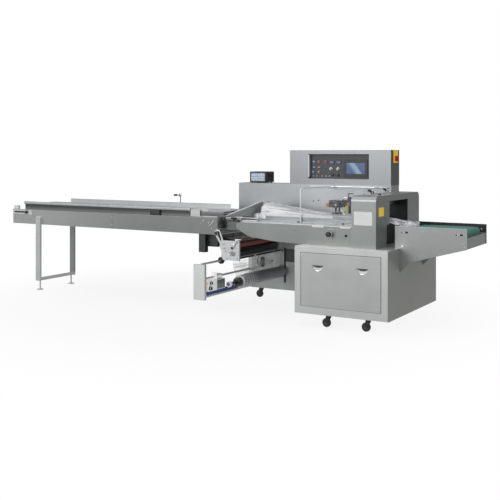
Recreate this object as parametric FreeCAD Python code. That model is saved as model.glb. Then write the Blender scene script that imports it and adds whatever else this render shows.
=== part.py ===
import FreeCAD, Part
import math
import os

# A horizontal flow wrapper for wide flat goods. The film reel hangs low on the left, the film
# is folded round the product by two former wings, a pair of wheels closes the seam on top,
# the head box cuts and seals the ends, and a short belt carries the packs away to the right.
# X runs with the product, Y away from the operator and Z up. The model is drawn from the
# lower right front corner of the front cabinet and is moved to its origin as it is saved.

# Levels above the floor
underside = 114.0
cabinet_top = 680.0
wall_top = 1169.0
machine_top = 1500.0

# Front cabinet and the tall rear wall
cabinet_width = 846.0
machine_depth = 1190.0
wall_depth = 206.0
base_left = -1854.0
wall_left = -2008.0
wall_right = -360.0
sheet_bend = 5.0
seam = 1.5

# Cover on the front of the cabinet, with two half-moon pulls
cover_left = -785.0
cover_right = -62.0
cover_bottom = 178.0
cover_top = 629.0
cover_depth = 16.0
pull_radius = 52.0
pull_centres = (-628.0, -223.0)
pull_flat_z = 529.0
pull_wall = 1.5

# Control box on top of the wall
control_left = -1416.0
control_extra_depth = 6.0
inset_left = -1212.0
inset_right = -578.0
inset_bottom = 1224.0
inset_height = 239.0
inset_depth = 46.0
panel_thick = 4.0
panel_fit = 0.5
screen_width = 247.0
screen_margin = 27.0
screen_share = (0.09, 0.755)
screen_border = 28.0
screen_proud = 9.0
button_radius = 12.0
button_proud = 12.0
button_collar = 15.0
button_collar_thick = 3.0
button_round = 2.0
button_offsets = ((40.0, 0.67), (94.0, 0.67), (169.0, 0.67), (32.0, 0.25), (93.0, 0.25))
meter_offsets = ((233.0, 0.67), (305.0, 0.67))
meter_width = 50.0
meter_height = 30.0
meter_proud = 6.0
dial_offsets = ((223.0, 0.39), (297.0, 0.39))
dial_radius = 17.0
dial_proud = 20.0
dial_skirt = 4.0
dial_grip_radius = 10.5

# Mains switch on the right end of the control box
switch_inset = 90.0
switch_drop = 81.0
switch_plate_width = 110.0
switch_plate_height = 118.0
switch_plate_gap = 2.0
switch_plate_round = 10.0
switch_plate_thick = 4.0
switch_knob_radius = 28.0
switch_disc = 10.0
switch_knob_proud = 30.0
switch_grip = 14.0

# Temperature controller on top of the wall
meter_box_left = -1891.0
meter_box_right = -1706.0
meter_box_inset = 24.0
meter_box_depth = 172.0
meter_box_height = 108.0
meter_foot = 6.0
meter_foot_radius = 8.0
meter_foot_inset = 20.0
meter_bezel = 12.0
meter_bezel_depth = 3.0

# Head box over the end seal, with the tunnel that the packs leave by
head_right = -140.0
head_front = 90.0
head_back_inset = 65.0
head_top = 1115.0
head_round = 46.0
tunnel_front = 390.0
tunnel_back = 830.0
tunnel_bottom = 866.0
tunnel_top = 1063.0
throat_front = 330.0
throat_depth = 70.0
jaw_width = 46.0
jaw_tooth = 5.0
jaw_teeth = 5
upper_jaw_bottom = 1012.0
lower_jaw_top = 880.0
lid_height = 52.0
lid_wall = 4.0
lid_front_inset = 276.0
lid_back_inset = 150.0
lid_inset = 10.0
lid_flange = 50.0
lid_corner = 20.0
lever_inset = 38.0
lever_shares = (0.15, 0.71)
lever_half = 7.0
lever_foot_radius = 11.0
lever_outline = ((12.0, 0.0), (12.0, 14.0), (-14.0, 16.0), (-66.0, 38.0), (-88.0, 38.0), (-92.0, 30.0),
                 (-88.0, 22.0), (-62.0, 24.0), (-12.0, 0.0))

# Forming table between the front beam and the wall
beam_front = 150.0
beam_thick = 8.0
table_top = 852.0
table_thick = 6.0
table_left = -1475.0
beam_outline = ((-1475.0, 846.0), (-1521.0, 830.0), (-1523.0, 788.0),
                (-1386.0, 718.0), (-1125.0, 690.0), (-846.0, 680.0))
film_table_front = 385.0
line_y = 555.0
film_table_left = -1440.0
film_table_right = -384.0
film_table_top = 912.0
film_table_sheet = 3.0

# Former: two wings that fold the film, on a short bed with side cheeks
wing_start_x = -1672.0
wing_wall_gap = 74.0
wing_end_x = -1443.0
wing_end_y = 500.0
wing_thick = 3.0
wing_outline = ((0.0, 880.0), (0.0, 893.0), (1.0, 1028.0), (1.0, 931.0), (0.62, 880.0))
former_left = -1735.0
former_right = -1500.0
former_step = -1650.0
former_bottom = 768.0
former_bed_right = -1540.0
former_bed_thick = 6.0
clamp_x = -1670.0
clamp_reach = 30.0
clamp_half = 20.0
clamp_bottom = 785.0
clamp_outline = ((0.0, 0.0), (0.0, 22.0), (6.0, 27.0), (40.0, 27.0), (44.0, 20.0), (50.0, 20.0), (54.0, 27.0),
                 (72.0, 27.0), (76.0, 12.0), (82.0, 12.0), (84.0, 20.0), (96.0, 18.0),
                 (100.0, 10.0), (100.0, 0.0))
star_x = -1569.0
star_reach = 28.0
star_half = 21.0
star_outline = ((0.0, 0.0), (0.0, 8.0), (16.0, 8.0), (18.0, 24.0), (22.0, 27.0), (32.0, 27.0), (36.0, 20.0),
                (36.0, 0.0))

# Fin seal unit over the middle of the line
seal_x = -700.0
seal_z = 934.0
seal_wheel_radius = 38.0
seal_wheel_thick = 14.0
seal_gap = 0.8
seal_shaft_radius = 8.0
seal_shaft_seat = 12.0
seal_housing_bottom = 985.0
seal_housing_height = 62.0
seal_housing_half = 62.0
seal_arm = 44.0
lever_pivot_x = -672.0
lever_ball_x = -760.0
lever_ball_z = 1008.0
lever_ball_radius = 17.0
lever_rod_radius = 5.0
lever_boss_radius = 24.0
lever_boss_thick = 30.0
lever_rod_inset = 8.0
lever_gap = 2.0
lever_pin_radius = 6.0
lever_pin_seat = 28.0
housing_round = 12.0
arm_rise = 8.0
wheel_chamfer = 3.0
carriage_right = -560.0
carriage_front = 515.0
carriage_depth = 30.0
carriage_bottom = 996.0
carriage_top = 1022.0
lamp_left = -588.0
lamp_top = 1080.0
hoop_x = -600.0
hoop_z = 1030.0
hoop_radius = 44.0
hoop_wire = 4.0
blade_outline = ((-650.0, 998.0), (-640.0, 998.0), (-588.0, 938.0), (-588.0, 930.0), (-598.0, 930.0))
plough_outline = ((-600.0, 996.0), (-562.0, 996.0), (-562.0, 930.0), (-588.0, 930.0))
blade_thick = 3.0

# Clear safety cover over the forming table
hinge_back = 16.0
hinge_z = 1150.0
guard_front = 366.0
guard_left = -985.0
guard_right = -374.0
guard_wall = 5.0
hinge_pin = 5.0
lug_width = 12.0
lug_inset = 60.0
lug_gap = 1.0
guard_bend = 26.0

# Hand knob on the beam
beam_knob_x = -580.0
beam_knob_z = 781.0
knob_radius = 24.0
knob_reach = 52.0
knob_bush_radius = 18.0
knob_bush = 10.0
knob_neck_radius = 9.0
knob_neck = 22.0

# Film feed unit under the infeed end
feed_plate_front = 194.0
feed_plate_thick = 12.0
feed_left = -1730.0
feed_right = -1514.0
feed_bottom = 483.0
feed_top = 665.0
steel_x = -1583.0
steel_z = 549.0
steel_radius = 44.0
rubber_radius = 34.0
nip_gap = 0.9
journal_radius = 10.0
running_fit = 0.05
end_play = 2.0
tie_bar_x = -1524.0
tie_bar_z = 654.0
tie_bar_half = 9.0
black_rod_x = -1524.0
black_rod_z = 507.0
black_rod_radius = 8.0
top_roller_x = -1750.0
top_roller_z = 728.0
top_roller_radius = 17.0
arm_thick = 8.0
cap_radius = 19.0
cap_length = 26.0
feed_notch = ((0.0, 65.0), (18.0, 105.0), (18.0, 152.0), (40.0, 182.0))
feed_lip = 10.0
feed_lip_reach = 6.0
arm_outline = ((-30.0, -8.0), (-28.0, 14.0), (-16.0, 28.0), (2.0, 33.0), (22.0, 27.0), (34.0, 8.0),
               (72.0, -92.0), (24.0, -92.0))
arm_slot = ((6.0, -22.0), (26.0, -10.0), (54.0, -84.0), (38.0, -84.0))
far_bearing_half = 25.0
far_bearing = 24.0
boss_radius = 24.0
boss_thick = 5.0
boss_bore = 2.0
nip_pivot = (-1588.0, 600.0)
nip_tip = (-1542.0, 662.0)
nip_half = 5.0
nip_boss_radius = 12.0
nip_reach = 14.0
nip_thick = 6.0

# Film reel on its shaft, and the cradle that reaches out to it
reel_x = -1500.0
reel_z = 303.0
reel_radius = 57.0
reel_front = 170.0
reel_back_gap = 40.0
reel_shaft_radius = 15.0
reel_core_radius = 38.0
reel_tip = -20.0
chuck_radius = 41.0
chuck_length = 55.0
chuck_chamfer = 8.0
end_cap_radius = 28.0
end_cap_length = 26.0
end_cap_round = 5.0
hub_radius = 44.0
hub_length = 24.0
mount_reach_left = 341.0
mount_reach_right = 24.0
mount_bottom = 183.0
mount_top = 520.0
cradle_x = -1872.0
cradle_plate_left = 57.0
cradle_plate_right = 66.0
cradle_front = 55.0
cradle_thick = 30.0
cradle_bottom = 118.0
cradle_top = 443.0
cradle_foot = 22.0
cradle_foot_depth = 40.0
cradle_foot_rise = 16.0
low_tube_z = 133.0
low_tube_radius = 13.0
mid_rod_z = 300.0
top_rod_z = 441.0
rod_radius = 10.0
reel_knob_y = 440.0
reel_knob_radius = 36.0
reel_knob_thick = 26.0
rail_z = 146.0
rail_height = 32.0
rail_half = 11.0
coder_front = 178.0
coder_back = 318.0
coder_top = 286.0
coder_plate = 8.0
coder_plate_top = 338.0
coder_half = 30.0
coder_knobs = ((214.0, 254.0, 17.0, 16.0), (202.0, 207.0, 20.0, 18.0))
clamp_half_width = 20.0
clamp_length = 94.0
clamp_low = 284.0
clamp_high = 322.0
shoe_length = 143.0
shoe_height = 93.0
shoe_half = 24.0

# Film
film_thick = 0.6
film_front = 216.0
film_margin = 6.0
film_gap = 0.4
tube_left = -1430.0
tube_neck = -760.0
tube_right = -388.0
tube_side = 6.0
tube_start_height = 92.0
tube_height = 12.0
fin_height = 24.0
fin_half = 0.4

# Infeed conveyor on its leg frame
infeed_left = -4490.0
infeed_right = -1802.0
infeed_front = 268.0
infeed_back = 770.0
infeed_bottom = 703.0
infeed_panel_top = 858.0
panel_sheet = 3.0
bed_left = -4323.0
bed_top = 918.0
bed_inset = 17.0
bed_lip = 82.0
side_rail_top = 945.0
bed_right = -1745.0
chain_slot = 16.0
sprocket_radius = 62.0
sprocket_z = 842.0
tail_x = -4400.0
drive_x = -1880.0
chain_thick = 8.0
far_guide_left = -4090.0
far_guide_right = -1961.0
far_guide_top = 960.0
guide_low = 6.0
guide_high = 3.0
guide_shoulder = 20.0
guide_flare = 11.0
guide_shoulder_length = 60.0
near_guide_left = -2120.0
near_guide_joint = 135.0
near_guide_gap = 6.0
shaft_radius = 10.0
shaft_gap = 4.0
cross_places = (-4430.0, -3700.0, -3000.0, -2300.0, -2000.0, -1862.0)
wall_arm_places = (-1990.0, -1862.0)
cross_tube = 40.0
cross_rise = 8.0
slot_margin = 40.0
leg_x = -4094.0
leg_width = 62.0
leg_depth = 25.0
leg_bottom = 98.0
leg_top = 792.0
leg_round = 24.0
leg_bar_height = 30.0
leg_bar_half = 15.0
foot_inset = 12.0
foot_radius = 36.0
foot_height = 12.0
foot_screw_radius = 8.0
foot_neck = 14.0
foot_edge = 4.0
drive_cover_left = -2030.0
drive_cover_width = 72.0
drive_cover_depth = 52.0
drive_cover_bottom = 527.0
drive_cover_inset = 22.0
drive_box_width = 180.0
drive_box_length = 313.0
drive_box_bottom = 580.0
photocell_x = -2575.0
photocell_height = 76.0
photocell_bend = 24.0
photocell_rod = 4.0
photocell_run = 22.0
photocell_head = 34.0
photocell_head_radius = 10.0
sender_left = -2596.0
sender_right = -2479.0
sender_top_gap = 3.0

# Output conveyor on the right end of the cabinet
output_right = 560.0
output_left = -44.0
output_top = 865.0
output_front = 268.0
output_back = 842.0
output_end_bottom = 700.0
output_knee_x = 85.0
output_knee_z = 570.0
gusset_tip_z = 480.0
belt_top = 843.0
belt_thick = 3.0
belt_roller_radius = 25.0
belt_near_x = 40.0
belt_far_x = 498.0
belt_inset = 14.0
belt_back = 756.0
belt_bed_gap = 0.3
belt_bed_inset = 32.0
belt_bed_drop = 8.0
slot_height = 15.0
slot_half = 22.0
output_pin_radius = 7.0
drum_gap = 0.2
end_plate_inset = 6.0
end_plate_height = 90.0

# Casters
caster_wheel_radius = 38.0
caster_wheel_width = 24.0
caster_trail = 24.0
caster_plate = 4.0
caster_plate_half = 30.0
caster_disc_radius = 27.0
cheek_gap = 2.0
cheek_sheet = 3.0
cheek_reach = 22.0
axle_radius = 5.0
axle_eye = 10.0
axle_drop = 6.0
tread_round = 4.0
caster_front = 92.0
caster_front_left = -562.0
caster_rear_left = -1794.0
caster_right = -202.0
caster_rear_inset = 105.0
swivel_gap = 0.3

# Derived places
wall_front = machine_depth - wall_depth
inset_top = inset_bottom + inset_height
screen_right = inset_right - screen_margin
screen_left = screen_right - screen_width
screen_bottom = inset_bottom + screen_share[0] * inset_height
screen_top = inset_bottom + screen_share[1] * inset_height
button_places = [(inset_left + x, inset_bottom + share * inset_height) for x, share in button_offsets]
meter_places = [(inset_left + x, inset_bottom + share * inset_height) for x, share in meter_offsets]
dial_places = [(inset_left + x, inset_bottom + share * inset_height) for x, share in dial_offsets]
switch_y = machine_depth - switch_inset
switch_z = machine_top - switch_drop
meter_box_front = wall_front + meter_box_inset
meter_box_back = meter_box_front + meter_box_depth
head_back = machine_depth - head_back_inset
lid_front = head_front + lid_front_inset
lid_back = head_back - lid_back_inset
reel_back = wall_front - reel_back_gap
mount_left = reel_x - mount_reach_left
mount_right = reel_x + mount_reach_right
caster_places = (("front_left", caster_front_left, caster_front), ("front_right", caster_right, caster_front),
                 ("rear_left", caster_rear_left, machine_depth - caster_rear_inset),
                 ("rear_right", caster_right, machine_depth - caster_rear_inset))
reel_knob_front = reel_knob_y - reel_knob_thick / 2
left_end = infeed_left
right_end = output_right
front_end = reel_tip
back_end = machine_depth + control_extra_depth
to_origin = FreeCAD.Vector(-(left_end + right_end) / 2, -(front_end + back_end) / 2, 0)
rubber_z = steel_z + steel_radius + rubber_radius + nip_gap
film_table_back = 2 * line_y - film_table_front
wing_start_y = 2 * line_y - wall_front + wing_wall_gap
coder_bottom = rail_z + rail_height


def point(x, y, z):
    return FreeCAD.Vector(x, y, z)


def block(x0, x1, y0, y1, z0, z1):
    """A box between two corners."""
    return Part.makeBox(x1 - x0, y1 - y0, z1 - z0, point(x0, y0, z0))


def rod_y(x, z, radius, y0, y1):
    """A round bar along Y."""
    return Part.makeCylinder(radius, y1 - y0, point(x, y0, z), point(0, 1, 0))


def rod_x(y, z, radius, x0, x1):
    """A round bar along X."""
    return Part.makeCylinder(radius, x1 - x0, point(x0, y, z), point(1, 0, 0))


def rod_z(x, y, radius, z0, z1):
    """An upright round bar."""
    return Part.makeCylinder(radius, z1 - z0, point(x, y, z0), point(0, 0, 1))


def plate_xz(outline, y0, y1):
    """An outline in the X and Z plane, given a thickness along Y."""
    face = Part.Face(Part.makePolygon([point(x, y0, z) for x, z in outline] +
                                      [point(outline[0][0], y0, outline[0][1])]))
    return face.extrude(point(0, y1 - y0, 0))


def plate_yz(outline, x0, x1):
    """An outline in the Y and Z plane, given a thickness along X."""
    face = Part.Face(Part.makePolygon([point(x0, y, z) for y, z in outline] +
                                      [point(x0, outline[0][0], outline[0][1])]))
    return face.extrude(point(x1 - x0, 0, 0))


def turned(outline, start, direction):
    """A profile of (distance, radius) pairs turned about an axis from a start point."""
    axis = point(*direction)
    across = point(1, 0, 0) if abs(axis.x) < 0.5 else point(0, 0, 1)
    places = [start + axis * along + across * radius for along, radius in outline]
    face = Part.Face(Part.makePolygon(places + [places[0]]))
    return face.revolve(start, axis, 360)


def rounded(shape, radius, wanted):
    """Fillets the edges whose ends pass a test."""
    edges = [edge for edge in shape.Edges if wanted(edge)]
    return shape.makeFillet(radius, edges)


def upright(edge):
    a, b = edge.Vertexes[0].Point, edge.Vertexes[-1].Point
    return abs(a.x - b.x) < 0.01 and abs(a.y - b.y) < 0.01


def along_x(edge):
    a, b = edge.Vertexes[0].Point, edge.Vertexes[-1].Point
    return abs(a.y - b.y) < 0.01 and abs(a.z - b.z) < 0.01


def along_y(edge):
    a, b = edge.Vertexes[0].Point, edge.Vertexes[-1].Point
    return abs(a.x - b.x) < 0.01 and abs(a.z - b.z) < 0.01


def joined(shapes):
    """Fuses solids that share faces into one."""
    whole = shapes[0].multiFuse(shapes[1:])
    return whole.removeSplitter()


def save(name, *shapes):
    """Moves a node's solids to the origin and writes them."""
    solids = []
    for shape in shapes:
        solids += shape.Solids
    whole = solids[0] if len(solids) == 1 else Part.makeCompound(solids)
    whole = whole.copy()
    whole.translate(to_origin)
    whole.exportStep("parts/%s.step" % name)


def half_moon(centre_x, radius, y0, y1):
    """A half disc with its flat side up, along Y."""
    disc = rod_y(centre_x, pull_flat_z, radius, y0, y1)
    return disc.common(block(centre_x - radius, centre_x + radius, y0, y1, pull_flat_z - radius, pull_flat_z))


def cabinets():
    """The front cabinet with its lift-off cover, the rear base and the tall wall."""
    cabinet = block(-cabinet_width, 0, 0, machine_depth, underside, cabinet_top)
    cabinet = rounded(cabinet, sheet_bend, upright)
    recess = block(cover_left - seam, cover_right + seam, 0, cover_depth, cover_bottom - seam, cover_top + seam)
    plates = caster_plates(("front_left", "front_right", "rear_right"))
    save("front_cabinet", joined([cabinet.cut(recess)] + plates))
    cover = block(cover_left, cover_right, 0, cover_depth, cover_bottom, cover_top)
    pulls = []
    for centre in pull_centres:
        cover = cover.cut(half_moon(centre, pull_radius, 0, cover_depth))
        cup = half_moon(centre, pull_radius, 0, cover_depth)
        hollow = rod_y(centre, pull_flat_z, pull_radius - pull_wall, 0, cover_depth - pull_wall)
        keep = block(centre - pull_radius, centre + pull_radius, 0, cover_depth,
                     pull_flat_z - pull_radius, pull_flat_z - pull_wall)
        pulls.append(cup.cut(hollow.common(keep)))
    save("cabinet_cover", cover)
    save("cabinet_pulls", *pulls)
    base = block(base_left, -cabinet_width, wall_front, machine_depth, underside, cabinet_top)
    save("rear_base", joined([base] + caster_plates(("rear_left",))))
    wall = block(wall_left, wall_right, wall_front, machine_depth, cabinet_top, wall_top)
    lugs = []
    hinge_y = wall_front - hinge_back
    for x in lug_places():
        half = lug_width / 2
        lug = block(x - half, x + half, hinge_y - 2 * hinge_pin, wall_front,
                    hinge_z - 2 * hinge_pin, hinge_z + 2 * hinge_pin)
        lugs.append(lug.cut(rod_x(hinge_y, hinge_z, hinge_pin + running_fit, x - half, x + half)))
    save("back_wall", joined([wall] + lugs))


def controls():
    """The control box, its sunk panel and what is set in it."""
    back = machine_depth + control_extra_depth
    box = block(control_left, wall_right, wall_front, back, wall_top, machine_top)
    sunk = wall_front + inset_depth
    box = box.cut(block(inset_left, inset_right, wall_front, sunk, inset_bottom, inset_top))
    save("control_box", box)
    face = sunk - panel_thick
    panel = block(inset_left + panel_fit, inset_right - panel_fit, face, sunk,
                  inset_bottom + panel_fit, inset_top - panel_fit)
    save("control_panel", panel)
    screen = block(screen_left, screen_right, face - screen_proud, face, screen_bottom, screen_top)
    glass = block(screen_left + screen_border, screen_right - screen_border, face - screen_proud,
                  face - screen_proud + 2, screen_bottom + screen_border, screen_top - screen_border)
    save("touch_screen", screen.cut(glass))
    pieces = []
    for x, z in button_places:
        outline = ((0, 0), (0, button_collar), (button_collar_thick, button_collar),
                   (button_collar_thick, button_radius), (button_proud - button_round, button_radius),
                   (button_proud, button_radius - button_round), (button_proud, 0))
        pieces.append(turned(outline, point(x, face, z), (0, -1, 0)))
    for x, z in meter_places:
        pieces.append(block(x - meter_width / 2, x + meter_width / 2, face - meter_proud, face,
                            z - meter_height / 2, z + meter_height / 2))
    for x, z in dial_places:
        skirt = rod_y(x, z, dial_radius, face - dial_skirt, face)
        grip = rod_y(x, z, dial_grip_radius, face - dial_proud, face - dial_skirt)
        pieces.append(joined([skirt, grip]))
    save("panel_controls", *pieces)


def mains_switch():
    """A plate on the end of the control box and the knob that turns on it."""
    outer = wall_right + switch_plate_thick
    top = machine_top - switch_plate_gap
    plate = block(wall_right, outer, switch_y - switch_plate_width / 2, switch_y + switch_plate_width / 2,
                  top - switch_plate_height, top)
    save("switch_plate", rounded(plate, switch_plate_round, along_x))
    start = outer + swivel_gap
    disc = rod_x(switch_y, switch_z, switch_knob_radius, start, start + switch_disc)
    grip = block(start, start + switch_knob_proud, switch_y - switch_grip / 2, switch_y + switch_grip / 2,
                 switch_z - switch_knob_radius, switch_z + switch_knob_radius)
    round_grip = grip.common(rod_x(switch_y, switch_z, switch_knob_radius, start, start + switch_knob_proud))
    save("switch_knob", joined([disc, round_grip]))


def controller():
    """The small controller that stands on four feet on the wall."""
    low = wall_top + meter_foot
    box = block(meter_box_left, meter_box_right, meter_box_front, meter_box_back, low, low + meter_box_height)
    bezel = block(meter_box_left + meter_bezel, meter_box_right - meter_bezel, meter_box_front,
                  meter_box_front + meter_bezel_depth, low + meter_bezel, low + meter_box_height - meter_bezel)
    box = box.cut(bezel)
    feet = []
    for x in (meter_box_left + meter_foot_inset, meter_box_right - meter_foot_inset):
        for y in (meter_box_front + meter_foot_inset, meter_box_back - meter_foot_inset):
            feet.append(rod_z(x, y, meter_foot_radius, wall_top, low))
    save("controller", joined([box] + feet))


def head_box():
    """The end seal housing, its tunnel, the toothed jaws and a clear guard clamped on its top."""
    head_left = wall_right
    body = block(head_left, head_right, head_front, head_back, cabinet_top, head_top)

    body = rounded(body, head_round, lambda edge: along_x(edge) and edge.CenterOfMass.z > head_top - 1)
    tunnel = block(head_left, head_right, tunnel_front, tunnel_back, tunnel_bottom, tunnel_top)
    throat = block(head_right - throat_depth, head_right, throat_front, tunnel_back, cabinet_top, tunnel_bottom)
    save("head_box", body.cut(tunnel).cut(throat))
    middle = (head_left + head_right) / 2
    pitch = jaw_width / jaw_teeth
    profile = [(middle - jaw_width / 2, tunnel_top)]
    for tooth in range(jaw_teeth):
        x = middle - jaw_width / 2 + tooth * pitch
        profile += [(x, upper_jaw_bottom + jaw_tooth), (x + pitch / 2, upper_jaw_bottom)]
    profile += [(middle + jaw_width / 2, upper_jaw_bottom + jaw_tooth), (middle + jaw_width / 2, tunnel_top)]
    upper = plate_xz(profile, tunnel_front, tunnel_back)
    profile = [(middle - jaw_width / 2, tunnel_bottom)]
    for tooth in range(jaw_teeth):
        x = middle - jaw_width / 2 + tooth * pitch
        profile += [(x, lower_jaw_top), (x + pitch / 2, lower_jaw_top - jaw_tooth)]
    profile += [(middle + jaw_width / 2, lower_jaw_top), (middle + jaw_width / 2, tunnel_bottom)]
    lower = plate_xz(profile, tunnel_front, tunnel_back)
    save("sealing_jaws", upper, lower)
    x0 = head_left + lid_inset
    upright_sheet = block(x0, x0 + lid_wall, lid_front, lid_back, head_top, head_top + lid_height)
    upright_sheet = rounded(upright_sheet, lid_corner,
                            lambda edge: along_x(edge) and edge.CenterOfMass.z > head_top + 1)
    flange = block(x0, x0 + lid_flange, lid_front, lid_back, head_top, head_top + lid_wall)
    save("head_lid", joined([upright_sheet, flange]))
    levers = []
    base = head_top + lid_wall
    x = head_left + lever_inset
    for share in lever_shares:
        y = lid_front + share * (lid_back - lid_front)
        places = [(y + along, base + rise) for along, rise in lever_outline]
        bar = plate_yz(places, x - lever_half, x + lever_half)
        foot = rod_z(x, y, lever_foot_radius, base, base + lever_outline[1][1])
        levers.append(joined([bar, foot]))
    save("lid_levers", *levers)


def lug_places():
    return (guard_left + lug_inset, guard_right - lug_inset)


def safety_cover():
    """A bent clear sheet that swings up on a pin along the wall."""
    hinge_y = wall_front - hinge_back
    top = hinge_z + hinge_pin
    outline = [(hinge_y, top), (guard_front, top), (guard_front, table_top + swivel_gap),
               (guard_front + guard_wall, table_top + swivel_gap), (guard_front + guard_wall, top - guard_wall),
               (hinge_y, top - guard_wall)]
    sheet = plate_yz(outline, guard_left, guard_right)
    for inset in (0, guard_wall):
        corner = (guard_front + inset, top - inset)
        sheet = rounded(sheet, guard_bend - inset, lambda edge: along_x(edge) and
                        math.hypot(edge.CenterOfMass.y - corner[0], edge.CenterOfMass.z - corner[1]) < 1)
    for x in lug_places():
        half = lug_width / 2 + lug_gap
        sheet = sheet.cut(block(x - half, x + half, hinge_y - 3 * hinge_pin, wall_front,
                                hinge_z - 3 * hinge_pin, top + 1))
    pin = rod_x(hinge_y, hinge_z, hinge_pin, guard_left, guard_right)
    save("safety_cover", joined([sheet, pin]))


def forming():
    """The front beam, the table, the side guides and the former's wings."""
    right = wall_right
    outline = list(beam_outline) + [(-cabinet_width, cabinet_top), (right, cabinet_top),
                                    (right, table_top - table_thick)]
    clean = []
    for place in outline:
        if place not in clean:
            clean.append(place)
    beam = plate_xz(clean, beam_front, beam_front + beam_thick)
    table = block(table_left, right, beam_front, wall_front, table_top - table_thick, table_top)
    save("forming_table", joined([beam, table]))
    cover = block(film_table_left, film_table_right, film_table_front, film_table_back,
                  table_top, film_table_top)
    under = block(film_table_left, film_table_right, film_table_front + film_table_sheet,
                  film_table_back - film_table_sheet, table_top, film_table_top - film_table_sheet)
    save("film_table", cover.cut(under))
    run = point(wing_end_x - wing_start_x, wing_end_y - wing_start_y, 0)
    out = point(-run.y, run.x, 0) * (-wing_thick / run.Length)
    start = point(wing_start_x, wing_start_y, 0)
    near_wing = Part.Face(Part.makePolygon([start + run * s + point(0, 0, z) for s, z in wing_outline] +
                                           [start + point(0, 0, wing_outline[0][1])]))
    near_wing = near_wing.extrude(out)
    far_wing = near_wing.mirror(point(0, line_y, 0), point(0, 1, 0))
    save("former_wings", near_wing, far_wing)
    inner_front = beam_front + beam_thick
    bed_low = film_table_top - former_bed_thick
    cheek = ((former_left, former_bottom), (former_right, former_bottom), (former_right, table_top - table_thick),
             (former_step, table_top - table_thick), (former_step, bed_low), (former_left, bed_low))
    cheek_near = plate_xz(cheek, inner_front, inner_front + beam_thick)
    cheek_far = plate_xz(cheek, wall_front - beam_thick, wall_front)
    share = (former_bed_right - wing_start_x) / run.x
    narrow = wing_start_y + run.y * share
    corners = [(former_left, inner_front), (former_left, wall_front), (wing_start_x, wall_front),
               (wing_start_x, 2 * line_y - wing_start_y), (former_bed_right, 2 * line_y - narrow),
               (former_bed_right, narrow), (wing_start_x, wing_start_y), (wing_start_x, inner_front)]
    places = [point(x, y, bed_low) for x, y in corners]
    bed = Part.Face(Part.makePolygon(places + [places[0]])).extrude(point(0, 0, former_bed_thick))
    hand_y = beam_front - clamp_reach
    shelf = block(clamp_x - clamp_half, clamp_x + clamp_half, hand_y - clamp_half, inner_front,
                  clamp_bottom - former_bed_thick, clamp_bottom)
    clamp = turned(clamp_outline, point(clamp_x, hand_y, clamp_bottom), (0, 0, 1))
    ledge = block(star_x - star_half, star_x + star_half, inner_front, inner_front + star_reach + star_half,
                  table_top - table_thick - former_bed_thick, table_top - table_thick)
    star = turned(star_outline, point(star_x, inner_front + star_reach, table_top - table_thick), (0, 0, 1))
    save("former_bed", joined([cheek_near, cheek_far, bed, shelf, clamp, ledge, star]))


def seal_unit():
    """The housing over the line, two wheels that press the seam, the lever and the folding blades."""
    top = seal_housing_bottom + seal_housing_height
    housing = block(seal_x - seal_housing_half, seal_x + seal_housing_half,
                    line_y - seal_housing_half, line_y + seal_housing_half, seal_housing_bottom, top)
    housing = rounded(housing, housing_round, upright)
    low = seal_housing_bottom + arm_rise
    arm = block(seal_x - seal_arm / 2, seal_x + seal_arm / 2, line_y, wall_front, low, low + seal_arm)
    offset = seal_wheel_radius + seal_gap
    body = joined([housing, arm] + seam_folder())
    for side in (-1, 1):
        body = body.cut(rod_z(seal_x, line_y + side * offset, seal_shaft_radius + running_fit,
                              seal_housing_bottom, seal_housing_bottom + seal_shaft_seat + end_play))
    face = line_y - seal_housing_half
    body = body.cut(rod_y(lever_pivot_x, lever_ball_z, lever_pin_radius + running_fit,
                          face, face + lever_pin_seat + end_play))
    save("seal_housing", body)
    shaft_length = seal_housing_bottom + seal_shaft_seat - seal_z + seal_wheel_thick / 2
    for name, side in (("seal_wheel_front", -1), ("seal_wheel_rear", 1)):
        y = line_y + side * offset
        edge = seal_wheel_radius - wheel_chamfer
        outline = ((0, 0), (0, edge), (wheel_chamfer, seal_wheel_radius),
                   (seal_wheel_thick - wheel_chamfer, seal_wheel_radius), (seal_wheel_thick, edge),
                   (seal_wheel_thick, seal_shaft_radius), (shaft_length, seal_shaft_radius), (shaft_length, 0))
        save(name, turned(outline, point(seal_x, y, seal_z - seal_wheel_thick / 2), (0, 0, 1)))
    near = face - lever_gap - lever_boss_thick
    pin = rod_y(lever_pivot_x, lever_ball_z, lever_pin_radius, near, face + lever_pin_seat)
    boss = rod_y(lever_pivot_x, lever_ball_z, lever_boss_radius, near, face - lever_gap)
    y = near + lever_rod_inset
    rod = rod_x(y, lever_ball_z, lever_rod_radius, lever_ball_x, lever_pivot_x)
    outline = [(0, 0)]
    for step in range(1, 8):
        angle = math.pi * step / 8
        outline.append((lever_ball_radius * (1 - math.cos(angle)), lever_ball_radius * math.sin(angle)))
    outline.append((2 * lever_ball_radius, 0))
    ball = turned(outline, point(lever_ball_x - lever_ball_radius, y, lever_ball_z), (1, 0, 0))
    save("seal_lever", joined([pin, boss, rod, ball]))


def seam_folder():
    """The carriage beside the wheels, with its lamp post, the wire hoop, a blade and a plough."""
    front = carriage_front
    back = carriage_front + carriage_depth
    carriage = block(seal_x + seal_housing_half - housing_round, carriage_right, front, back,
                     carriage_bottom, carriage_top)
    lamp = block(lamp_left, carriage_right, front, back, carriage_top, lamp_top)
    middle = (front + back) / 2
    hoop = Part.makeTorus(hoop_radius, hoop_wire, point(hoop_x, middle, hoop_z), point(0, 1, 0))
    reach = hoop_radius + hoop_wire
    keep = block(hoop_x - reach, hoop_x, front, back, hoop_z - reach, hoop_z + reach)
    blade = plate_xz(blade_outline, front, front + blade_thick)
    plough = plate_xz(plough_outline, back - blade_thick, back)
    return [carriage, lamp, hoop.common(keep), blade, plough]


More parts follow.
